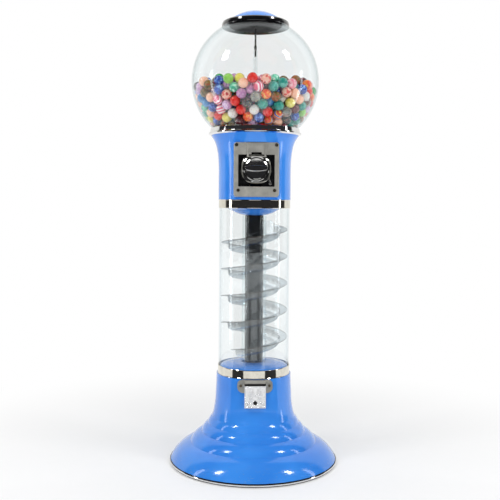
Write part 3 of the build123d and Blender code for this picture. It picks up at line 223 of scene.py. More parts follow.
def blue_paint(foot_wear):
    """Gloss blue paint with orange peel; the foot also has dust and fine scuffs."""
    s = Surface("blue_paint_foot" if foot_wear else "blue_paint")
    tone = s.noise(9.0, 2.0)
    colour = s.blend(s.between(tone, 0.3, 0.7), BLUE, BLUE_DEEP)
    peel = s.noise(420.0, 2.0)
    waves = s.noise(14.0, 1.0)
    smudge = s.noise(38.0, 4.0, 0.7)
    rough = s.between(smudge, 0.35, 0.8, 0.10, 0.22)
    if foot_wear:
        z = s.axes()[2]
        low = s.between(z, 0.012, 0.055, 1.0, 0.0)
        scuff = s.between(s.noise(90.0, 5.0, 0.75, s.scaled(1.0, 1.0, 3.0)), 0.56, 0.66)
        worn = s.math("MULTIPLY", low, scuff)
        colour = s.blend(s.math("MULTIPLY", worn, 0.5), colour, linear(96, 130, 180))
        rough = s.math("ADD", rough, s.math("MULTIPLY", worn, 0.25))
    normal = s.bump(peel, 0.00004)
    normal = s.bump(waves, 0.0012, 0.5, normal)
    shader = s.principled(Base_Color=colour, Roughness=rough, Normal=normal, Coat_Weight=0.45,
                          Coat_Roughness=0.03, Coat_IOR=1.5, IOR=1.4)
    return s.done(shader.outputs[0])


def chrome(name, tint, low, high, wave=0.0):
    """Polished plate. wave bends its reflections as a thin rolled band does."""
    s = Surface(name)
    haze = s.noise(60.0, 4.0, 0.7)
    wipes = s.noise(30.0, 3.0, 0.6, s.scaled(1.0, 1.0, 9.0))
    rough = s.between(s.math("MULTIPLY", haze, wipes), 0.15, 0.4, low, high)
    colour = s.blend(s.between(haze, 0.35, 0.75), tint, tuple(c * 0.86 for c in tint[:3]) + (1.0,))
    normal = s.bump(s.noise(900.0, 2.0), 0.00001)
    if wave:
        normal = s.bump(s.noise(26.0, 1.0, 0.5, s.scaled(1.0, 1.0, 0.25)), wave, 1.0, normal)
    shader = s.principled(Base_Color=colour, Metallic=1.0, Roughness=rough, Normal=normal)
    return s.done(shader.outputs[0])


def cast_zinc():
    """Satin zinc casting with a sandy skin, tarnish and fine upright brush lines."""
    s = Surface("cast_zinc")
    cloud = s.noise(55.0, 5.0, 0.65)
    brushed = s.noise(700.0, 3.0, 0.6, s.scaled(1.0, 1.0, 0.03))
    colour = s.ramp(cloud, [(0.25, linear(150, 149, 143)), (0.55, linear(172, 171, 164)),
                            (0.8, linear(190, 188, 180))])
    spots = s.between(s.cells(260.0), 0.0, 0.16, 1.0, 0.0)
    colour = s.blend(s.math("MULTIPLY", spots, 0.25), colour, linear(96, 92, 84))
    normal = s.bump(s.noise(1100.0, 4.0, 0.7), 0.00008)
    normal = s.bump(brushed, 0.00003, 0.6, normal)
    rough = s.between(cloud, 0.3, 0.75, 0.38, 0.52)
    shader = s.principled(Base_Color=colour, Metallic=0.55, Roughness=rough, Normal=normal)
    return s.done(shader.outputs[0])


def plated_steel(name, colour_low, colour_high, rough_low, rough_high, grain=0.00003):
    """Turned or rolled steel with a light plating and handling marks."""
    s = Surface(name)
    mottled = s.noise(120.0, 4.0, 0.65)
    colour = s.blend(s.between(mottled, 0.35, 0.7), colour_low, colour_high)
    rough = s.between(mottled, 0.3, 0.8, rough_low, rough_high)
    normal = s.bump(s.noise(1500.0, 2.0, 0.5, s.scaled(0.2, 0.2, 1.0)), grain)
    shader = s.principled(Base_Color=colour, Metallic=1.0, Roughness=rough, Normal=normal)
    return s.done(shader.outputs[0])


def galvanised():
    """Zinc-dipped sheet with its spangle of crystals."""
    s = Surface("galvanised_sheet")
    crystal = s.cells(75.0, output="Color")
    grey = s.add("ShaderNodeRGBToBW")
    s.link(crystal, grey.inputs[0])
    colour = s.ramp(grey.outputs[0], [(0.1, linear(150, 153, 156)), (0.9, linear(205, 208, 210))])
    rough = s.between(grey.outputs[0], 0.0, 1.0, 0.22, 0.42)
    shader = s.principled(Base_Color=colour, Metallic=0.95, Roughness=rough,
                          Normal=s.bump(s.noise(500.0, 2.0), 0.00003))
    return s.done(shader.outputs[0])


def moulded(name, dark, light, rough_low, rough_high, grain_scale=650.0, grain=0.00005, coat=0.0,
            refraction=1.45):
    """Moulded plastic, rubber or enamel: a slight mottle and its own surface grain."""
    s = Surface(name)
    tone = s.noise(70.0, 4.0, 0.65)
    colour = s.blend(s.between(tone, 0.35, 0.75), dark, light)
    rough = s.between(s.noise(40.0, 3.0), 0.3, 0.75, rough_low, rough_high)
    normal = s.bump(s.noise(grain_scale, 3.0, 0.6), grain)
    shader = s.principled(Base_Color=colour, Roughness=rough, Normal=normal, Coat_Weight=coat,
                          Coat_Roughness=0.04, IOR=refraction)
    return s.done(shader.outputs[0])


def clear_plastic(name, pass_colour, glance_shade_colour, haze, edge_power, edges=None):
    """Clear sheet: see-through head on, mirror-like at a glance, with haze and wipe marks. Painted shade
    tints it darker at a glance, its haze carries a blue tint as a painted reflection of the blue paint,
    and painted shade darkens its cut edges where edges gives a mask from the position."""
    s = Surface(name)
    facing = s.add("ShaderNodeLayerWeight")
    facing.inputs["Blend"].default_value = 0.5
    # Painted shade: the see-through colour darkens where the sheet is seen at a glance.
    glance_painted_shade = s.math("POWER", facing.outputs["Facing"], edge_power)
    mirror = s.math("ADD", 0.04, s.math("MULTIPLY", 0.65, s.math("POWER", facing.outputs["Facing"], 5.0)))
    see = s.add("ShaderNodeBsdfTransparent")
    s.link(s.blend(glance_painted_shade, pass_colour, glance_shade_colour), see.inputs["Color"])
    wipes = s.noise(24.0, 5.0, 0.7, s.scaled(1.0, 1.0, 0.35))
    ripple = s.bump(s.noise(22.0, 2.0), 0.0012, 0.7)
    rough = s.between(wipes, 0.3, 0.8, 0.02, 0.10)
    skin = s.principled(Base_Color=linear(236, 242, 246), Roughness=rough, Normal=ripple, Metallic=1.0)
    # Haze film, bluish-white: the haze is real, its blue tint is a painted reflection of the blue paint
    # nearby.
    haze_with_painted_blue_reflection = s.principled(Base_Color=linear(214, 224, 238), Roughness=0.5)
    shine = s.add("ShaderNodeMixShader")
    s.link(mirror, shine.inputs[0])
    s.link(see.outputs[0], shine.inputs[1])
    s.link(skin.outputs[0], shine.inputs[2])
    dull = s.add("ShaderNodeMixShader")
    scratch = s.between(s.noise(140.0, 4.0, 0.75, s.scaled(1.0, 1.0, 0.06)), 0.62, 0.74)
    s.link(s.math("ADD", s.between(wipes, 0.35, 0.85, 0.4 * haze, 1.6 * haze),
                  s.math("MULTIPLY", scratch, 0.5 * haze)), dull.inputs[0])
    s.link(shine.outputs[0], dull.inputs[1])
    s.link(haze_with_painted_blue_reflection.outputs[0], dull.inputs[2])
    result = dull.outputs[0]
    if edges is not None:
        # Painted shade: the sheet's cut edges and bends are coloured a dull brown-grey, as the dark lines
        # that light through the sheet makes there.
        painted_edge_shade = s.principled(Base_Color=linear(112, 104, 96), Roughness=0.25)
        cut = s.add("ShaderNodeMixShader")
        s.link(edges(s), cut.inputs[0])
        s.link(result, cut.inputs[1])
        s.link(painted_edge_shade.outputs[0], cut.inputs[2])
        result = cut.outputs[0]
    return s.done(result)


def track_edges(s):
    """Mask of the painted shade lines on the track: its cut outer edge, and the bend where its channel
    meets the flange.
    """
    radius = s.axes()[3]
    cut = s.between(radius, 0.0895, 0.0899, 0.0, 0.55)
    bend_in = s.between(radius, 0.0685, 0.0695)
    bend_out = s.between(radius, 0.0715, 0.0725, 0.22, 0.0)
    return s.math("ADD", cut, s.math("MULTIPLY", bend_in, bend_out), True)


# ------------------------------------------------------------------ the loose balls
BALL_R = 0.0135
FILL_LOW, FILL_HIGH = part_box("ball_fill")
TUBE_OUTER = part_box("center_tube")[1].x
GLOBE_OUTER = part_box("globe")[1].x
GLOBE_CENTRE_Z = 1.027
GLOBE_WALL = 0.003
BALL_GAP = 0.0006
BALL_RANGE = GLOBE_OUTER - GLOBE_WALL - BALL_R - BALL_GAP
NECK_INNER = 0.1146 - BALL_R - BALL_GAP
HOPPER_FOOT_R = 0.070
HOPPER_LIP_Z = 0.8945
HOPPER_FLOOR_Z = FILL_LOW.z + BALL_R + 0.0005
HEAP_TOP = FILL_HIGH.z - BALL_R
FAR_TOO_HIGH = 9.0


def floor_under(radius):
    """Lowest height of a ball's centre on the hopper or the globe, at a distance from the axis."""
    slope = (radius - HOPPER_FOOT_R) / (NECK_INNER - HOPPER_FOOT_R)
    hopper = HOPPER_FLOOR_Z + np.clip(slope, 0, 1) * (HOPPER_LIP_Z - HOPPER_FLOOR_Z)
    bowl = GLOBE_CENTRE_Z - np.sqrt(np.maximum(BALL_RANGE ** 2 - radius ** 2, 0))
    height = np.where(radius > NECK_INNER, bowl, hopper)
    outside = (radius > BALL_RANGE - 0.0005) | (radius < TUBE_OUTER + BALL_R + 0.0004)
    return np.where(outside, FAR_TOO_HIGH, height)


def rest_heights(x, y, centres):
    """Height at which a ball dropped at each x, y comes to rest on those already there."""
    height = floor_under(np.hypot(x, y))
    if len(centres):
        apart = (x[:, None] - centres[:, 0]) ** 2 + (y[:, None] - centres[:, 1]) ** 2
        rise = np.sqrt(np.maximum((2 * BALL_R) ** 2 - apart, 0))
        on_others = np.where(apart < (2 * BALL_R) ** 2, centres[:, 2] + rise, -FAR_TOO_HIGH)
        height = np.maximum(height, on_others.max(1))
    return height


def heap_limit(x, y):
    """The highest a ball may rest: the heap stands a little higher in its middle."""
    return HEAP_TOP - 0.016 * (np.hypot(x, y) / BALL_RANGE) ** 2


def roll_down(x, y, centres):
    """Rolls a dropped ball downhill until it rests."""
    headings = np.linspace(0, 2 * math.pi, 8, endpoint=False)
    height = rest_heights(np.array([x]), np.array([y]), centres)[0]
    step = BALL_R
    while step > BALL_R * 0.02:
        xs = x + step * np.cos(headings)
        ys = y + step * np.sin(headings)
        heights = rest_heights(xs, ys, centres)
        best = int(np.argmin(heights))
        if heights[best] < height - 1e-7:
            x, y, height = xs[best], ys[best], heights[best]
        else:
            step *= 0.5
    return x, y, height


def pack_balls():
    """Centres of the balls, dropped one after another into the hopper and the globe."""
    rng = np.random.default_rng(11)
    centres = np.zeros((0, 3))
    refused = 0
    while refused < 40:
        tries = []
        for _ in range(5):
            angle = rng.uniform(0, 2 * math.pi)
            radius = BALL_RANGE * math.sqrt(rng.uniform(0.03, 0.98))
            tries.append(roll_down(radius * math.cos(angle), radius * math.sin(angle), centres))
        x, y, z = min(tries, key=lambda spot: spot[2])
        if z > heap_limit(x, y):
            refused += 1
            continue
        centres = np.vstack([centres, (x, y, z)])
    return centres


def unit_ball(level):
    """Vertices and triangles of a ball of radius 1."""
    shape = bmesh.new()
    bmesh.ops.create_icosphere(shape, subdivisions=level, radius=1.0)
    points = np.array([v.co[:] for v in shape.verts])
    points /= np.linalg.norm(points, axis=1)[:, None]
    corners = np.array([[v.index for v in f.verts] for f in shape.faces])
    shape.free()
    return points, corners


def random_turn(rng):
    """A random rotation matrix."""
    basis, _ = np.linalg.qr(rng.normal(size=(3, 3)))
    if np.linalg.det(basis) < 0:
        basis[:, 0] *= -1
    return basis


def ball_cluster(name, centres, rng, fine, coarse):
    """One mesh of all the balls that share a style. ball_point holds each point in its own
    ball's turned frame, and ball_seed a number for each ball."""
    points, corners, local, seeds = [], [], [], []
    count = 0
    for centre in centres:
        from_middle = np.linalg.norm(centre - (0, 0, GLOBE_CENTRE_Z))
        seen = from_middle > BALL_RANGE - 3.2 * BALL_R or centre[2] > HEAP_TOP - 5.5 * BALL_R
        unit, faces = fine if seen else coarse
        points.append(centre + unit * BALL_R)
        corners.append(faces + count)
        local.append(unit @ random_turn(rng))
        seeds.append(np.full(len(unit), rng.uniform(0, 50)))
        count += len(unit)
    points, corners = np.vstack(points), np.vstack(corners)
    mesh = bpy.data.meshes.new(name)
    mesh.vertices.add(len(points))
    mesh.vertices.foreach_set("co", points.astype(np.float32).ravel())
    mesh.loops.add(corners.size)
    mesh.loops.foreach_set("vertex_index", corners.astype(np.int32).ravel())
    mesh.polygons.add(len(corners))
    mesh.polygons.foreach_set("loop_start", np.arange(0, corners.size, 3, dtype=np.int32))
    mesh.update(calc_edges=True)
    mesh.polygons.foreach_set("use_smooth", np.ones(len(corners), bool))
    attribute = mesh.attributes.new("ball_point", "FLOAT_VECTOR", "POINT")
    attribute.data.foreach_set("vector", np.vstack(local).astype(np.float32).ravel())
    attribute = mesh.attributes.new("ball_seed", "FLOAT", "POINT")
    attribute.data.foreach_set("value", np.concatenate(seeds).astype(np.float32))
    mesh.validate()
    piece = bpy.data.objects.new(name, mesh)
    SCENE.collection.objects.link(piece)
    return piece


def ball_material(name, pattern, colours, rough=0.16):
    """Rubber ball: marbled, striped, flecked, glitter or clear, in the given colours."""
    s = Surface(name)
    local = s.add("ShaderNodeAttribute", attribute_name="ball_point").outputs["Vector"]
    seed = s.add("ShaderNodeAttribute", attribute_name="ball_seed").outputs["Fac"]
    a, b, c = [linear(*colour) for colour in colours]
    cloud = s.noise(1.1, 3.0, 0.6, local, 1.6, seed)
    fine = s.noise(7.0, 3.0, 0.6, local, 0.3, seed)
    if pattern == "marble":
        colour = s.ramp(cloud, [(0.36, a), (0.47, a), (0.5, b), (0.56, b), (0.6, c)])
    elif pattern == "stripes":
        band = s.add("ShaderNodeTexWave", wave_type="BANDS")
        s.link(local, band.inputs["Vector"])
        band.inputs["Scale"].default_value = 0.55
        band.inputs["Distortion"].default_value = 2.6
        band.inputs["Detail"].default_value = 1.0
        colour = s.ramp(band.outputs["Fac"], [(0.2, a), (0.32, b), (0.6, b), (0.72, c)])
    elif pattern == "flecks":
        chips = s.cells(3.4, vector=local, output="Color")
        pick = s.add("ShaderNodeRGBToBW")
        s.link(chips, pick.inputs[0])
        hue = s.ramp(pick.outputs[0], [(0.2, b), (0.45, c), (0.6, linear(240, 214, 84)),
                                       (0.75, linear(66, 128, 214))], "CONSTANT")
        spot = s.between(s.cells(3.4, vector=local), 0.22, 0.27, 1.0, 0.0)
        colour = s.blend(spot, a, hue)
    elif pattern == "patches":
        patch = s.cells(1.5, "SMOOTH_F1", s.scaled(1.0, 1.4, 1.0, local))
        colour = s.ramp(patch, [(0.3, a), (0.36, b), (0.58, b), (0.64, c)])
    else:
        colour = s.ramp(cloud, [(0.3, a), (0.52, b), (0.7, c)])
    colour = s.blend(s.math("MULTIPLY", s.between(fine, 0.4, 0.75), 0.22), colour, c)
    seam = s.between(s.math("ABSOLUTE", s.z_part(local)), 0.0, 0.02, 0.85, 1.0)
    colour = s.blend(s.math("SUBTRACT", 1.0, seam), colour, linear(70, 66, 66))
    normal = s.bump(s.noise(26.0, 2.0, 0.5, local), 0.00004)
    inputs = {"Base_Color": colour, "Normal": normal, "Coat_Weight": 1.0, "Coat_Roughness": 0.03}
    if pattern == "glitter":
        glint = s.between(s.cells(16.0, vector=local), 0.10, 0.16, 1.0, 0.0)
        inputs["Base_Color"] = s.blend(glint, colour, linear(235, 245, 245))
        inputs["Metallic"] = s.math("MULTIPLY", glint, 0.9)
        inputs["Roughness"] = s.between(glint, 0.0, 1.0, rough, 0.3)
    else:
        inputs["Roughness"] = s.between(fine, 0.3, 0.8, rough, rough + 0.14)
    if pattern == "clear":
        inputs["Transmission_Weight"] = 0.85
        inputs["IOR"] = 1.35
    else:
        inputs["Subsurface_Weight"] = 0.08
        inputs["Subsurface_Radius"] = (0.004, 0.003, 0.003)
    return s.done(s.principled(**inputs).outputs[0])


# Share of the balls, name, pattern and three colours of each style.
BALL_STYLES = [
    (8, "peach", "plain", [(250, 176, 142), (248, 190, 158), (255, 214, 190)]),
    (8, "pink_marble", "marble", [(236, 132, 152), (250, 206, 210), (214, 92, 120)]),
    (8, "lilac_swirl", "marble", [(206, 158, 206), (236, 214, 236), (164, 110, 172)]),
    (6, "purple_marble", "marble", [(176, 112, 166), (222, 170, 204), (120, 84, 140)]),
    (6, "lime", "plain", [(118, 186, 66), (146, 208, 92), (176, 222, 120)]),
    (5, "yellow", "plain", [(214, 196, 60), (230, 216, 96), (244, 236, 150)]),
    (6, "teal_glitter", "glitter", [(28, 128, 116), (42, 152, 138), (90, 190, 170)]),
    (4, "sea_green", "marble", [(40, 164, 128), (120, 212, 180), (214, 244, 226)]),
    (6, "royal_blue", "marble", [(18, 38, 128), (44, 92, 196), (150, 190, 236)]),
    (4, "sky_blue", "plain", [(24, 104, 168), (44, 132, 196), (110, 176, 220)]),
    (6, "red", "plain", [(214, 22, 26), (226, 40, 34), (240, 90, 70)]),
    (5, "orange_red", "marble", [(232, 62, 26), (240, 96, 40), (250, 196, 90)]),
    (4, "green", "plain", [(16, 136, 48), (28, 158, 62), (80, 190, 104)]),
    (5, "black_fleck", "flecks", [(26, 24, 26), (180, 50, 60), (210, 210, 200)]),
    (7, "white_multicolour", "flecks", [(236, 232, 226), (216, 80, 110), (70, 160, 130)]),
    (5, "salmon_patch", "patches", [(224, 96, 90), (248, 196, 176), (190, 60, 70)]),
    (5, "olive_bronze", "marble", [(86, 84, 44), (140, 110, 60), (176, 80, 60)]),
    (4, "maroon_glitter", "glitter", [(70, 24, 34), (96, 36, 46), (150, 80, 84)]),
    (5, "striped", "stripes", [(44, 88, 190), (236, 200, 60), (220, 80, 60)]),
    (5, "pink_white", "stripes", [(250, 240, 240), (240, 150, 170), (226, 96, 130)]),
    (4, "clear_rainbow", "clear", [(250, 250, 250), (236, 246, 240), (240, 200, 120)]),
]


def make_balls():
    centres = pack_balls()
    rng = np.random.default_rng(5)
    shares = np.array([style[0] for style in BALL_STYLES], float)
    picks = rng.choice(len(BALL_STYLES), size=len(centres), p=shares / shares.sum())
    fine, coarse = unit_ball(4), unit_ball(3)
    first = None
    for index, (_, name, pattern, colours) in enumerate(BALL_STYLES):
        mine = centres[picks == index]
        if not len(mine):
            continue
        piece = ball_cluster("balls_" + name, mine, rng, fine, coarse)
        piece.data.materials.append(ball_material("ball_" + name, pattern, colours))
        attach(piece, MACHINE)
        first = first or piece
    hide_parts("ball_fill")


# ------------------------------------------------------------------ the ornate chute door
HOLE_DROP = 0.0150          # finger hole below the middle of the door
HOLE_R = 0.0054
ROSETTE_UP = 0.0045
RELIEF = 0.0023
BARREL_R = 0.003
BARREL_SIDES = 28
# Place, size, turns and lean of each leaf scroll of one half of the door.
SCROLLS = [
    (0.0125, 0.0125, 0.0078, 2.2, 0.4),
    (0.0135, -0.0035, 0.0068, 2.0, 2.4),
    (0.0160, -0.0185, 0.0058, 1.8, -0.7),
]


def smooth_step(low, high, value):
    t = np.clip((value - low) / (high - low), 0, 1)
    return t * t * (3 - 2 * t)


def ridge(distance, width):
    """A rounded raised line of the given half width."""
    return np.sqrt(np.clip(1 - (distance / width) ** 2, 0, 1))


def door_relief(u, v, half_w, half_h):
    """Height of the cast ornament, 0 to 1, at u, v from the door's middle: a roped border,
    mirrored leaf scrolls, a rosette and a beaded frame around the finger hole."""
    inside = np.minimum(half_w - np.abs(u), half_h - np.abs(v))
    border = ridge(inside - 0.0022, 0.0016) * (0.75 + 0.25 * np.sin((u + v) * 2600))
    height = border.copy()
    side = np.abs(u)
    for cx, cz, size, turns, lean in SCROLLS:
        dx, dz = side - cx, v - cz
        r = np.hypot(dx, dz)
        angle = np.arctan2(dz, dx) + lean
        spiral = np.mod(angle / (2 * math.pi) + turns * np.sqrt(np.clip(r / size, 0, 1)), 1.0)
        line = ridge(np.abs(spiral - 0.5), 0.27)
        height = np.maximum(height, line * smooth_step(size, size * 0.86, r))
        leaves = ridge(np.abs(np.sin(angle * 4)) - 1.0, 0.75) * ridge(r - size * 1.16, size * 0.24)
        height = np.maximum(height, 0.8 * leaves)
    r = np.hypot(u, v - ROSETTE_UP)
    petals = ridge(np.sin(np.arctan2(v - ROSETTE_UP, u) * 4) - 1.0, 0.9) * smooth_step(0.0062, 0.005, r)
    height = np.maximum(height, petals)
    height = np.maximum(height, ridge(r, 0.0022))
    hole = np.hypot(u, v + HOLE_DROP)
    beads = 0.7 + 0.3 * np.cos(np.arctan2(v + HOLE_DROP, u) * 14)
    height = np.maximum(height, ridge(hole - 0.0072, 0.0014) * beads)
    return height


def ornament_chrome():
    """Plated casting: bright on its raised lines, with painted shade that turns its hollows black."""
    s = Surface("chrome_cast")
    relief = s.add("ShaderNodeAttribute", attribute_name="relief").outputs["Fac"]
    # Painted shade: the hollows of the relief are coloured near black, dull and not metallic, as the
    # shade that falls in them.
    hollow_painted_shade = s.between(relief, 0.10, 0.62, 1.0, 0.0)
    hollow_shade_tone = s.noise(500.0, 3.0)
    colour = s.blend(hollow_painted_shade, linear(232, 233, 234), s.blend(hollow_shade_tone, linear(8, 8, 9), linear(34, 32, 31)))
    metal = s.between(hollow_painted_shade, 0.0, 1.0, 1.0, 0.1)
    rough = s.between(hollow_painted_shade, 0.0, 1.0, 0.10, 0.6)
    shader = s.principled(Base_Color=colour, Metallic=metal, Roughness=rough,
                          Normal=s.bump(s.noise(300.0, 3.0), 0.00005))
    return s.done(shader.outputs[0])


def make_chute_door():
    """The swinging door, cast with ornament on its front. Its back and barrel stay plain."""
    low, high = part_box("chute_door")
    half_w = (high.x - low.x) / 2
    plate_top = high.z - 0.0048
    middle_z = (low.z + plate_top) / 2
    half_h = (plate_top - low.z) / 2
    back = high.y - 0.0058
    ground = low.y + 0.0024
    columns, rows = 220, 228
    u = np.linspace(-half_w, half_w, columns)
    v = np.linspace(-half_h, half_h, rows)
    uu, vv = np.meshgrid(u, v)
    relief = door_relief(uu, vv, half_w, half_h)
    edge = np.minimum(half_w - np.abs(uu), half_h - np.abs(vv))
    front = ground - RELIEF * relief + 0.0012 * smooth_step(0.0012, 0.0, edge)
    hole = np.hypot(uu, vv + HOLE_DROP)
    sunk = np.minimum(back - 0.0004, front + 0.004 * smooth_step(0.0056, 0.0048, hole))
    front = np.where(hole < HOLE_R, sunk, front)
    count = columns * rows
    points = np.zeros((count * 2, 3), np.float32)
    points[:count] = np.stack([uu.ravel(), front.ravel(), middle_z + vv.ravel()], 1)
    points[count:] = np.stack([uu.ravel(), np.full(count, back), middle_z + vv.ravel()], 1)
    faces = []
    for row in range(rows - 1):
        for column in range(columns - 1):
            a = row * columns + column
            faces.append((a, a + 1, a + columns + 1, a + columns))
            faces.append((a + count, a + count + columns, a + count + columns + 1, a + count + 1))
    for row in range(rows - 1):
        a, b = row * columns, (row + 1) * columns
        faces.append((a, b, b + count, a + count))
        a, b = a + columns - 1, b + columns - 1
        faces.append((b, a, a + count, b + count))
    for column in range(columns - 1):
        a, b = column, column + 1
        faces.append((b, a, a + count, b + count))
        a, b = a + columns * (rows - 1), b + columns * (rows - 1)
        faces.append((a, b, b + count, a + count))
    mesh = bpy.data.meshes.new("chute_door_casting")
    mesh.from_pydata(points.tolist(), [], faces)
    raised = np.ones(count * 2, np.float32)
    raised[:count] = np.where(hole < HOLE_R, 0.0, relief).ravel()
    mesh.attributes.new("relief", "FLOAT", "POINT").data.foreach_set("value", raised)
    mesh.polygons.foreach_set("use_smooth", np.ones(len(faces), bool))
    mesh.update()
    door = bpy.data.objects.new("chute_door_casting", mesh)
    SCENE.collection.objects.link(door)
    mesh.materials.append(ornament_chrome())
    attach(door, "flap")
    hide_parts("chute_door")
    barrel = door_barrel(low, high)
    barrel.data.materials.append(mesh.materials[0])
    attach(barrel, "flap")


def door_barrel(low, high):
    """The hinge barrel along the door's top, with a groove near each end."""
    shape = bmesh.new()
    y, z = high.y - BARREL_R, high.z - BARREL_R
    stations = [(-1.0, 0.8), (-0.985, 1.0), (-0.82, 1.0), (-0.81, 0.86), (-0.78, 0.86), (-0.77, 1.0),
                (0.77, 1.0), (0.78, 0.86), (0.81, 0.86), (0.82, 1.0), (0.985, 1.0), (1.0, 0.8)]
    half = (high.x - low.x) / 2 - 0.0004
    rings = []
    for along, thick in stations:
        ring = []
        for step in range(BARREL_SIDES):
            angle = 2 * math.pi * step / BARREL_SIDES
            ring.append(shape.verts.new((along * half, y + BARREL_R * thick * math.cos(angle),
                                         z + BARREL_R * thick * math.sin(angle))))
        rings.append(ring)
    for first, second in zip(rings, rings[1:]):
        for step in range(BARREL_SIDES):
            after = (step + 1) % BARREL_SIDES
            shape.faces.new((first[step], first[after], second[after], second[step]))
    shape.faces.new(rings[0][::-1])
    shape.faces.new(rings[-1])
    bmesh.ops.recalc_face_normals(shape, faces=shape.faces)
    mesh = bpy.data.meshes.new("chute_door_barrel")
    shape.to_mesh(mesh)
    shape.free()
    barrel = bpy.data.objects.new("chute_door_barrel", mesh)
    SCENE.collection.objects.link(barrel)
    return barrel


# ------------------------------------------------------------------ studio
def area_light(name, place, aim, width, height, watts, in_reflections=True, colour=(1, 1, 1)):
    data = bpy.data.lights.new(name, "AREA")
    data.shape = "RECTANGLE"
    data.size = width
    data.size_y = height
    data.energy = watts
    data.color = colour
    light = bpy.data.objects.new(name, data)
    SCENE.collection.objects.link(light)
    light.location = place
    light.rotation_euler = (Vector(aim) - Vector(place)).to_track_quat("-Z", "Y").to_euler()
    light.visible_glossy = in_reflections
    light.visible_camera = False
    return light


def around(azimuth, distance, height):
    """A place at an azimuth from the front, positive towards +X."""
    angle = math.radians(azimuth)
    return (distance * math.sin(angle), -distance * math.cos(angle), height)


def make_world():
    """White behind and beside the object, dim in front, and plain white to the camera."""
    world = bpy.data.worlds.new("studio")
    world.use_nodes = True
    tree = world.node_tree
    tree.nodes.clear()
    direction = tree.nodes.new("ShaderNodeTexCoord")
    split = tree.nodes.new("ShaderNodeSeparateXYZ")
    tree.links.new(direction.outputs["Generated"], split.inputs[0])
    side = tree.nodes.new("ShaderNodeMapRange")
    side.interpolation_type = "SMOOTHSTEP"
    tree.links.new(split.outputs[1], side.inputs["Value"])
    side.inputs["From Min"].default_value = 0.26
    side.inputs["From Max"].default_value = 0.38
    tone = tree.nodes.new("ShaderNodeValToRGB")
    tree.links.new(side.outputs["Result"], tone.inputs["Fac"])
    tone.color_ramp.elements[0].color = (0.03, 0.03, 0.033, 1)
    tone.color_ramp.elements[1].color = (0.92, 0.92, 0.9, 1)
    studio = tree.nodes.new("ShaderNodeBackground")
    tree.links.new(tone.outputs["Color"], studio.inputs["Color"])
    paper = tree.nodes.new("ShaderNodeBackground")
    paper.inputs["Color"].default_value = (1, 1, 1, 1)
    path = tree.nodes.new("ShaderNodeLightPath")
    mix = tree.nodes.new("ShaderNodeMixShader")
    seen = tree.nodes.new("ShaderNodeMath")
    seen.operation = "MAXIMUM"
    tree.links.new(path.outputs["Is Camera Ray"], seen.inputs[0])
    tree.links.new(path.outputs["Is Transmission Ray"], seen.inputs[1])
    tree.links.new(seen.outputs[0], mix.inputs[0])
    tree.links.new(studio.outputs[0], mix.inputs[1])
    tree.links.new(paper.outputs[0], mix.inputs[2])
    output = tree.nodes.new("ShaderNodeOutputWorld")
    tree.links.new(mix.outputs[0], output.inputs["Surface"])
    SCENE.world = world


def make_floor():
    """A pale floor that fades to plain white away from the object."""
    shape = bmesh.new()
    bmesh.ops.create_circle(shape, cap_ends=True, radius=9.0, segments=96)
    mesh = bpy.data.meshes.new("floor")
    shape.to_mesh(mesh)
    shape.free()
    floor = bpy.data.objects.new("floor", mesh)
    SCENE.collection.objects.link(floor)
    s = Surface("studio_floor")
    radius = s.axes()[3]
    grain = s.noise(30.0, 4.0)
    tone = s.blend(grain, (0.86, 0.87, 0.88, 1), (0.9, 0.9, 0.91, 1))
    matt = s.principled(Base_Color=tone, Roughness=0.7)
    glow = s.add("ShaderNodeEmission")
    mix = s.add("ShaderNodeMixShader")
    s.link(s.between(radius, 0.26, 1.2, 0.30, 1.0), mix.inputs[0])
    s.link(matt.outputs[0], mix.inputs[1])
    s.link(glow.outputs[0], mix.inputs[2])
    mesh.materials.append(s.done(mix.outputs[0]))


def dark_card(name, corners):
    """A black card that only shows in reflections, as the unlit studio does."""
    mesh = bpy.data.meshes.new(name)
    mesh.from_pydata(corners, [], [tuple(range(len(corners)))])
    card = bpy.data.objects.new(name, mesh)
    SCENE.collection.objects.link(card)
    card.visible_camera = False
    card.visible_diffuse = False
    card.visible_transmission = False
    card.visible_shadow = False
    s = Surface(name)
    black = s.principled(Base_Color=(0.012, 0.012, 0.014, 1), Roughness=0.9)
    mesh.materials.append(s.done(black.outputs[0]))


def make_studio():
    make_world()
    make_floor()
    for side in (-1, 1):
        name = "left" if side < 0 else "right"
        area_light("window_" + name, around(64 * side, 2.2, 2.6), (0, 0, 0.8), 0.36, 0.7, 22)
        area_light("strip_" + name, around(84 * side, 1.7, 0.75), (0, 0, 0.7), 0.16, 1.4, 3.4)
        area_light("fill_" + name, around(28 * side, 3.0, 1.5), (0, 0, 0.6), 1.4, 1.6, 27, False)
        dark_card("dark_floor_" + name, [around(32 * side, 0.34, 0.002), around(33 * side, 4.0, 0.002),
                                         around(71 * side, 4.0, 0.002), around(71 * side, 0.34, 0.002)])
    area_light("overhead", (0, -0.6, 3.2), (0, 0, 0.4), 2.2, 1.6, 24, False)


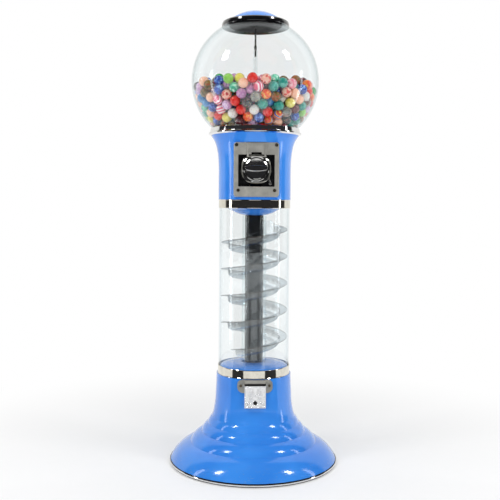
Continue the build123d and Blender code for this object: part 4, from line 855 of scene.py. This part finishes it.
# ------------------------------------------------------------------ the object
def finish_cad_nodes():
    paint(blue_paint(False), "base_dome", "head_dome", "head_shell", "lid_dome")
    paint(blue_paint(True), "base_shell")
    warm = linear(226, 222, 210)
    cool = linear(232, 232, 232)
    paint(chrome("chrome_band", warm, 0.03, 0.10, wave=0.0010), "base_band", "head_band")
    paint(chrome("chrome_ring", cool, 0.03, 0.09), "globe_ring", "base_trim_ring")
    paint(chrome("chrome_mech", linear(206, 206, 204), 0.04, 0.12), "mech_handle")
    # Painted shade: the housing behind the coin window is given dark grey metal for the shade and dark
    # reflections in that recess; the part itself is chrome.
    paint(chrome("chrome_painted_shade", linear(84, 84, 84), 0.10, 0.2), "mech_housing")
    paint(cast_zinc(), "mech_face_plate", "chute_plate")
    steel = plated_steel("steel", linear(176, 176, 172), linear(206, 205, 200), 0.18, 0.34)
    paint(steel, "base_bottom_plate", "post_flanges", "flange_screws", "handle_shaft", "shaft_nut",
          "wheel_axle", "lid_rod", "chute_door_pin", "ratchet_pawl", "pawl_screw", "pawl_spring", "cash_lock", "lid_lock")
    paint(plated_steel("old_screws", linear(78, 70, 58), linear(120, 112, 98), 0.3, 0.5), "front_screws")
    paint(plated_steel("carrier_zinc", linear(140, 140, 138), linear(170, 170, 166), 0.25, 0.4),
          "coin_carrier")
    paint(plated_steel("sintered_bronze", linear(160, 118, 66), linear(190, 146, 90), 0.3, 0.45, 0.00006),
          "shaft_bush")
    paint(galvanised(), "exit_chute", "cash_box", "ball_drop_tube")
    black = linear(14, 14, 15)
    paint(moulded("black_vinyl", linear(6, 6, 7), black, 0.4, 0.6, refraction=1.25), "base_edge_moulding")
    paint(moulded("black_liner", linear(6, 6, 7), black, 0.5, 0.7, 300.0, 0.00008, refraction=1.2),
          "lid_liner")
    paint(moulded("rubber", linear(24, 24, 24), linear(44, 43, 42), 0.6, 0.8, 380.0, 0.0001),
          "rubber_feet", "globe_gasket")
    paint(moulded("black_enamel", linear(8, 8, 10), linear(18, 18, 21), 0.08, 0.18, 420.0, 0.00003, 1.0),
          "center_post", "lid_ring")
    paint(moulded("black_plastic", black, linear(30, 30, 32), 0.22, 0.4, 500.0, 0.00005),
          "hopper", "wheel_pan", "brush_housing", "agitator", "coin_chute")
    paint(moulded("grey_paint", linear(74, 76, 80), linear(92, 94, 98), 0.3, 0.45, 500.0, 0.00006),
          "cash_frame", "cash_drawer_front")
    paint(moulded("white_acetal", linear(214, 214, 206), linear(232, 231, 224), 0.3, 0.45),
          "dispensing_wheel", "crown_gear", "drive_pinion")
    paint(moulded("nylon_bristle", linear(22, 22, 24), linear(66, 64, 62), 0.5, 0.7, 2600.0, 0.0006),
          "brush")
    # The second colour of each clear material is the painted shade seen at a glance.
    globe = clear_plastic("globe_clear", linear(253, 254, 254), linear(222, 228, 228), 0.0015, 7.0)
    tube = clear_plastic("tube_clear", linear(253, 254, 254), linear(228, 234, 236), 0.001, 7.0)
    track = clear_plastic("track_clear", linear(251, 253, 254), linear(150, 158, 168), 0.002, 5.0,
                          track_edges)
    paint(globe, "globe")
    paint(tube, "clear_tube", "center_tube", "post_sleeve")
    paint(track, "spiral_exit_section", *[f"spiral_section_{turn}" for turn in range(1, 5)])


finish_cad_nodes()
make_balls()
make_chute_door()
make_studio()
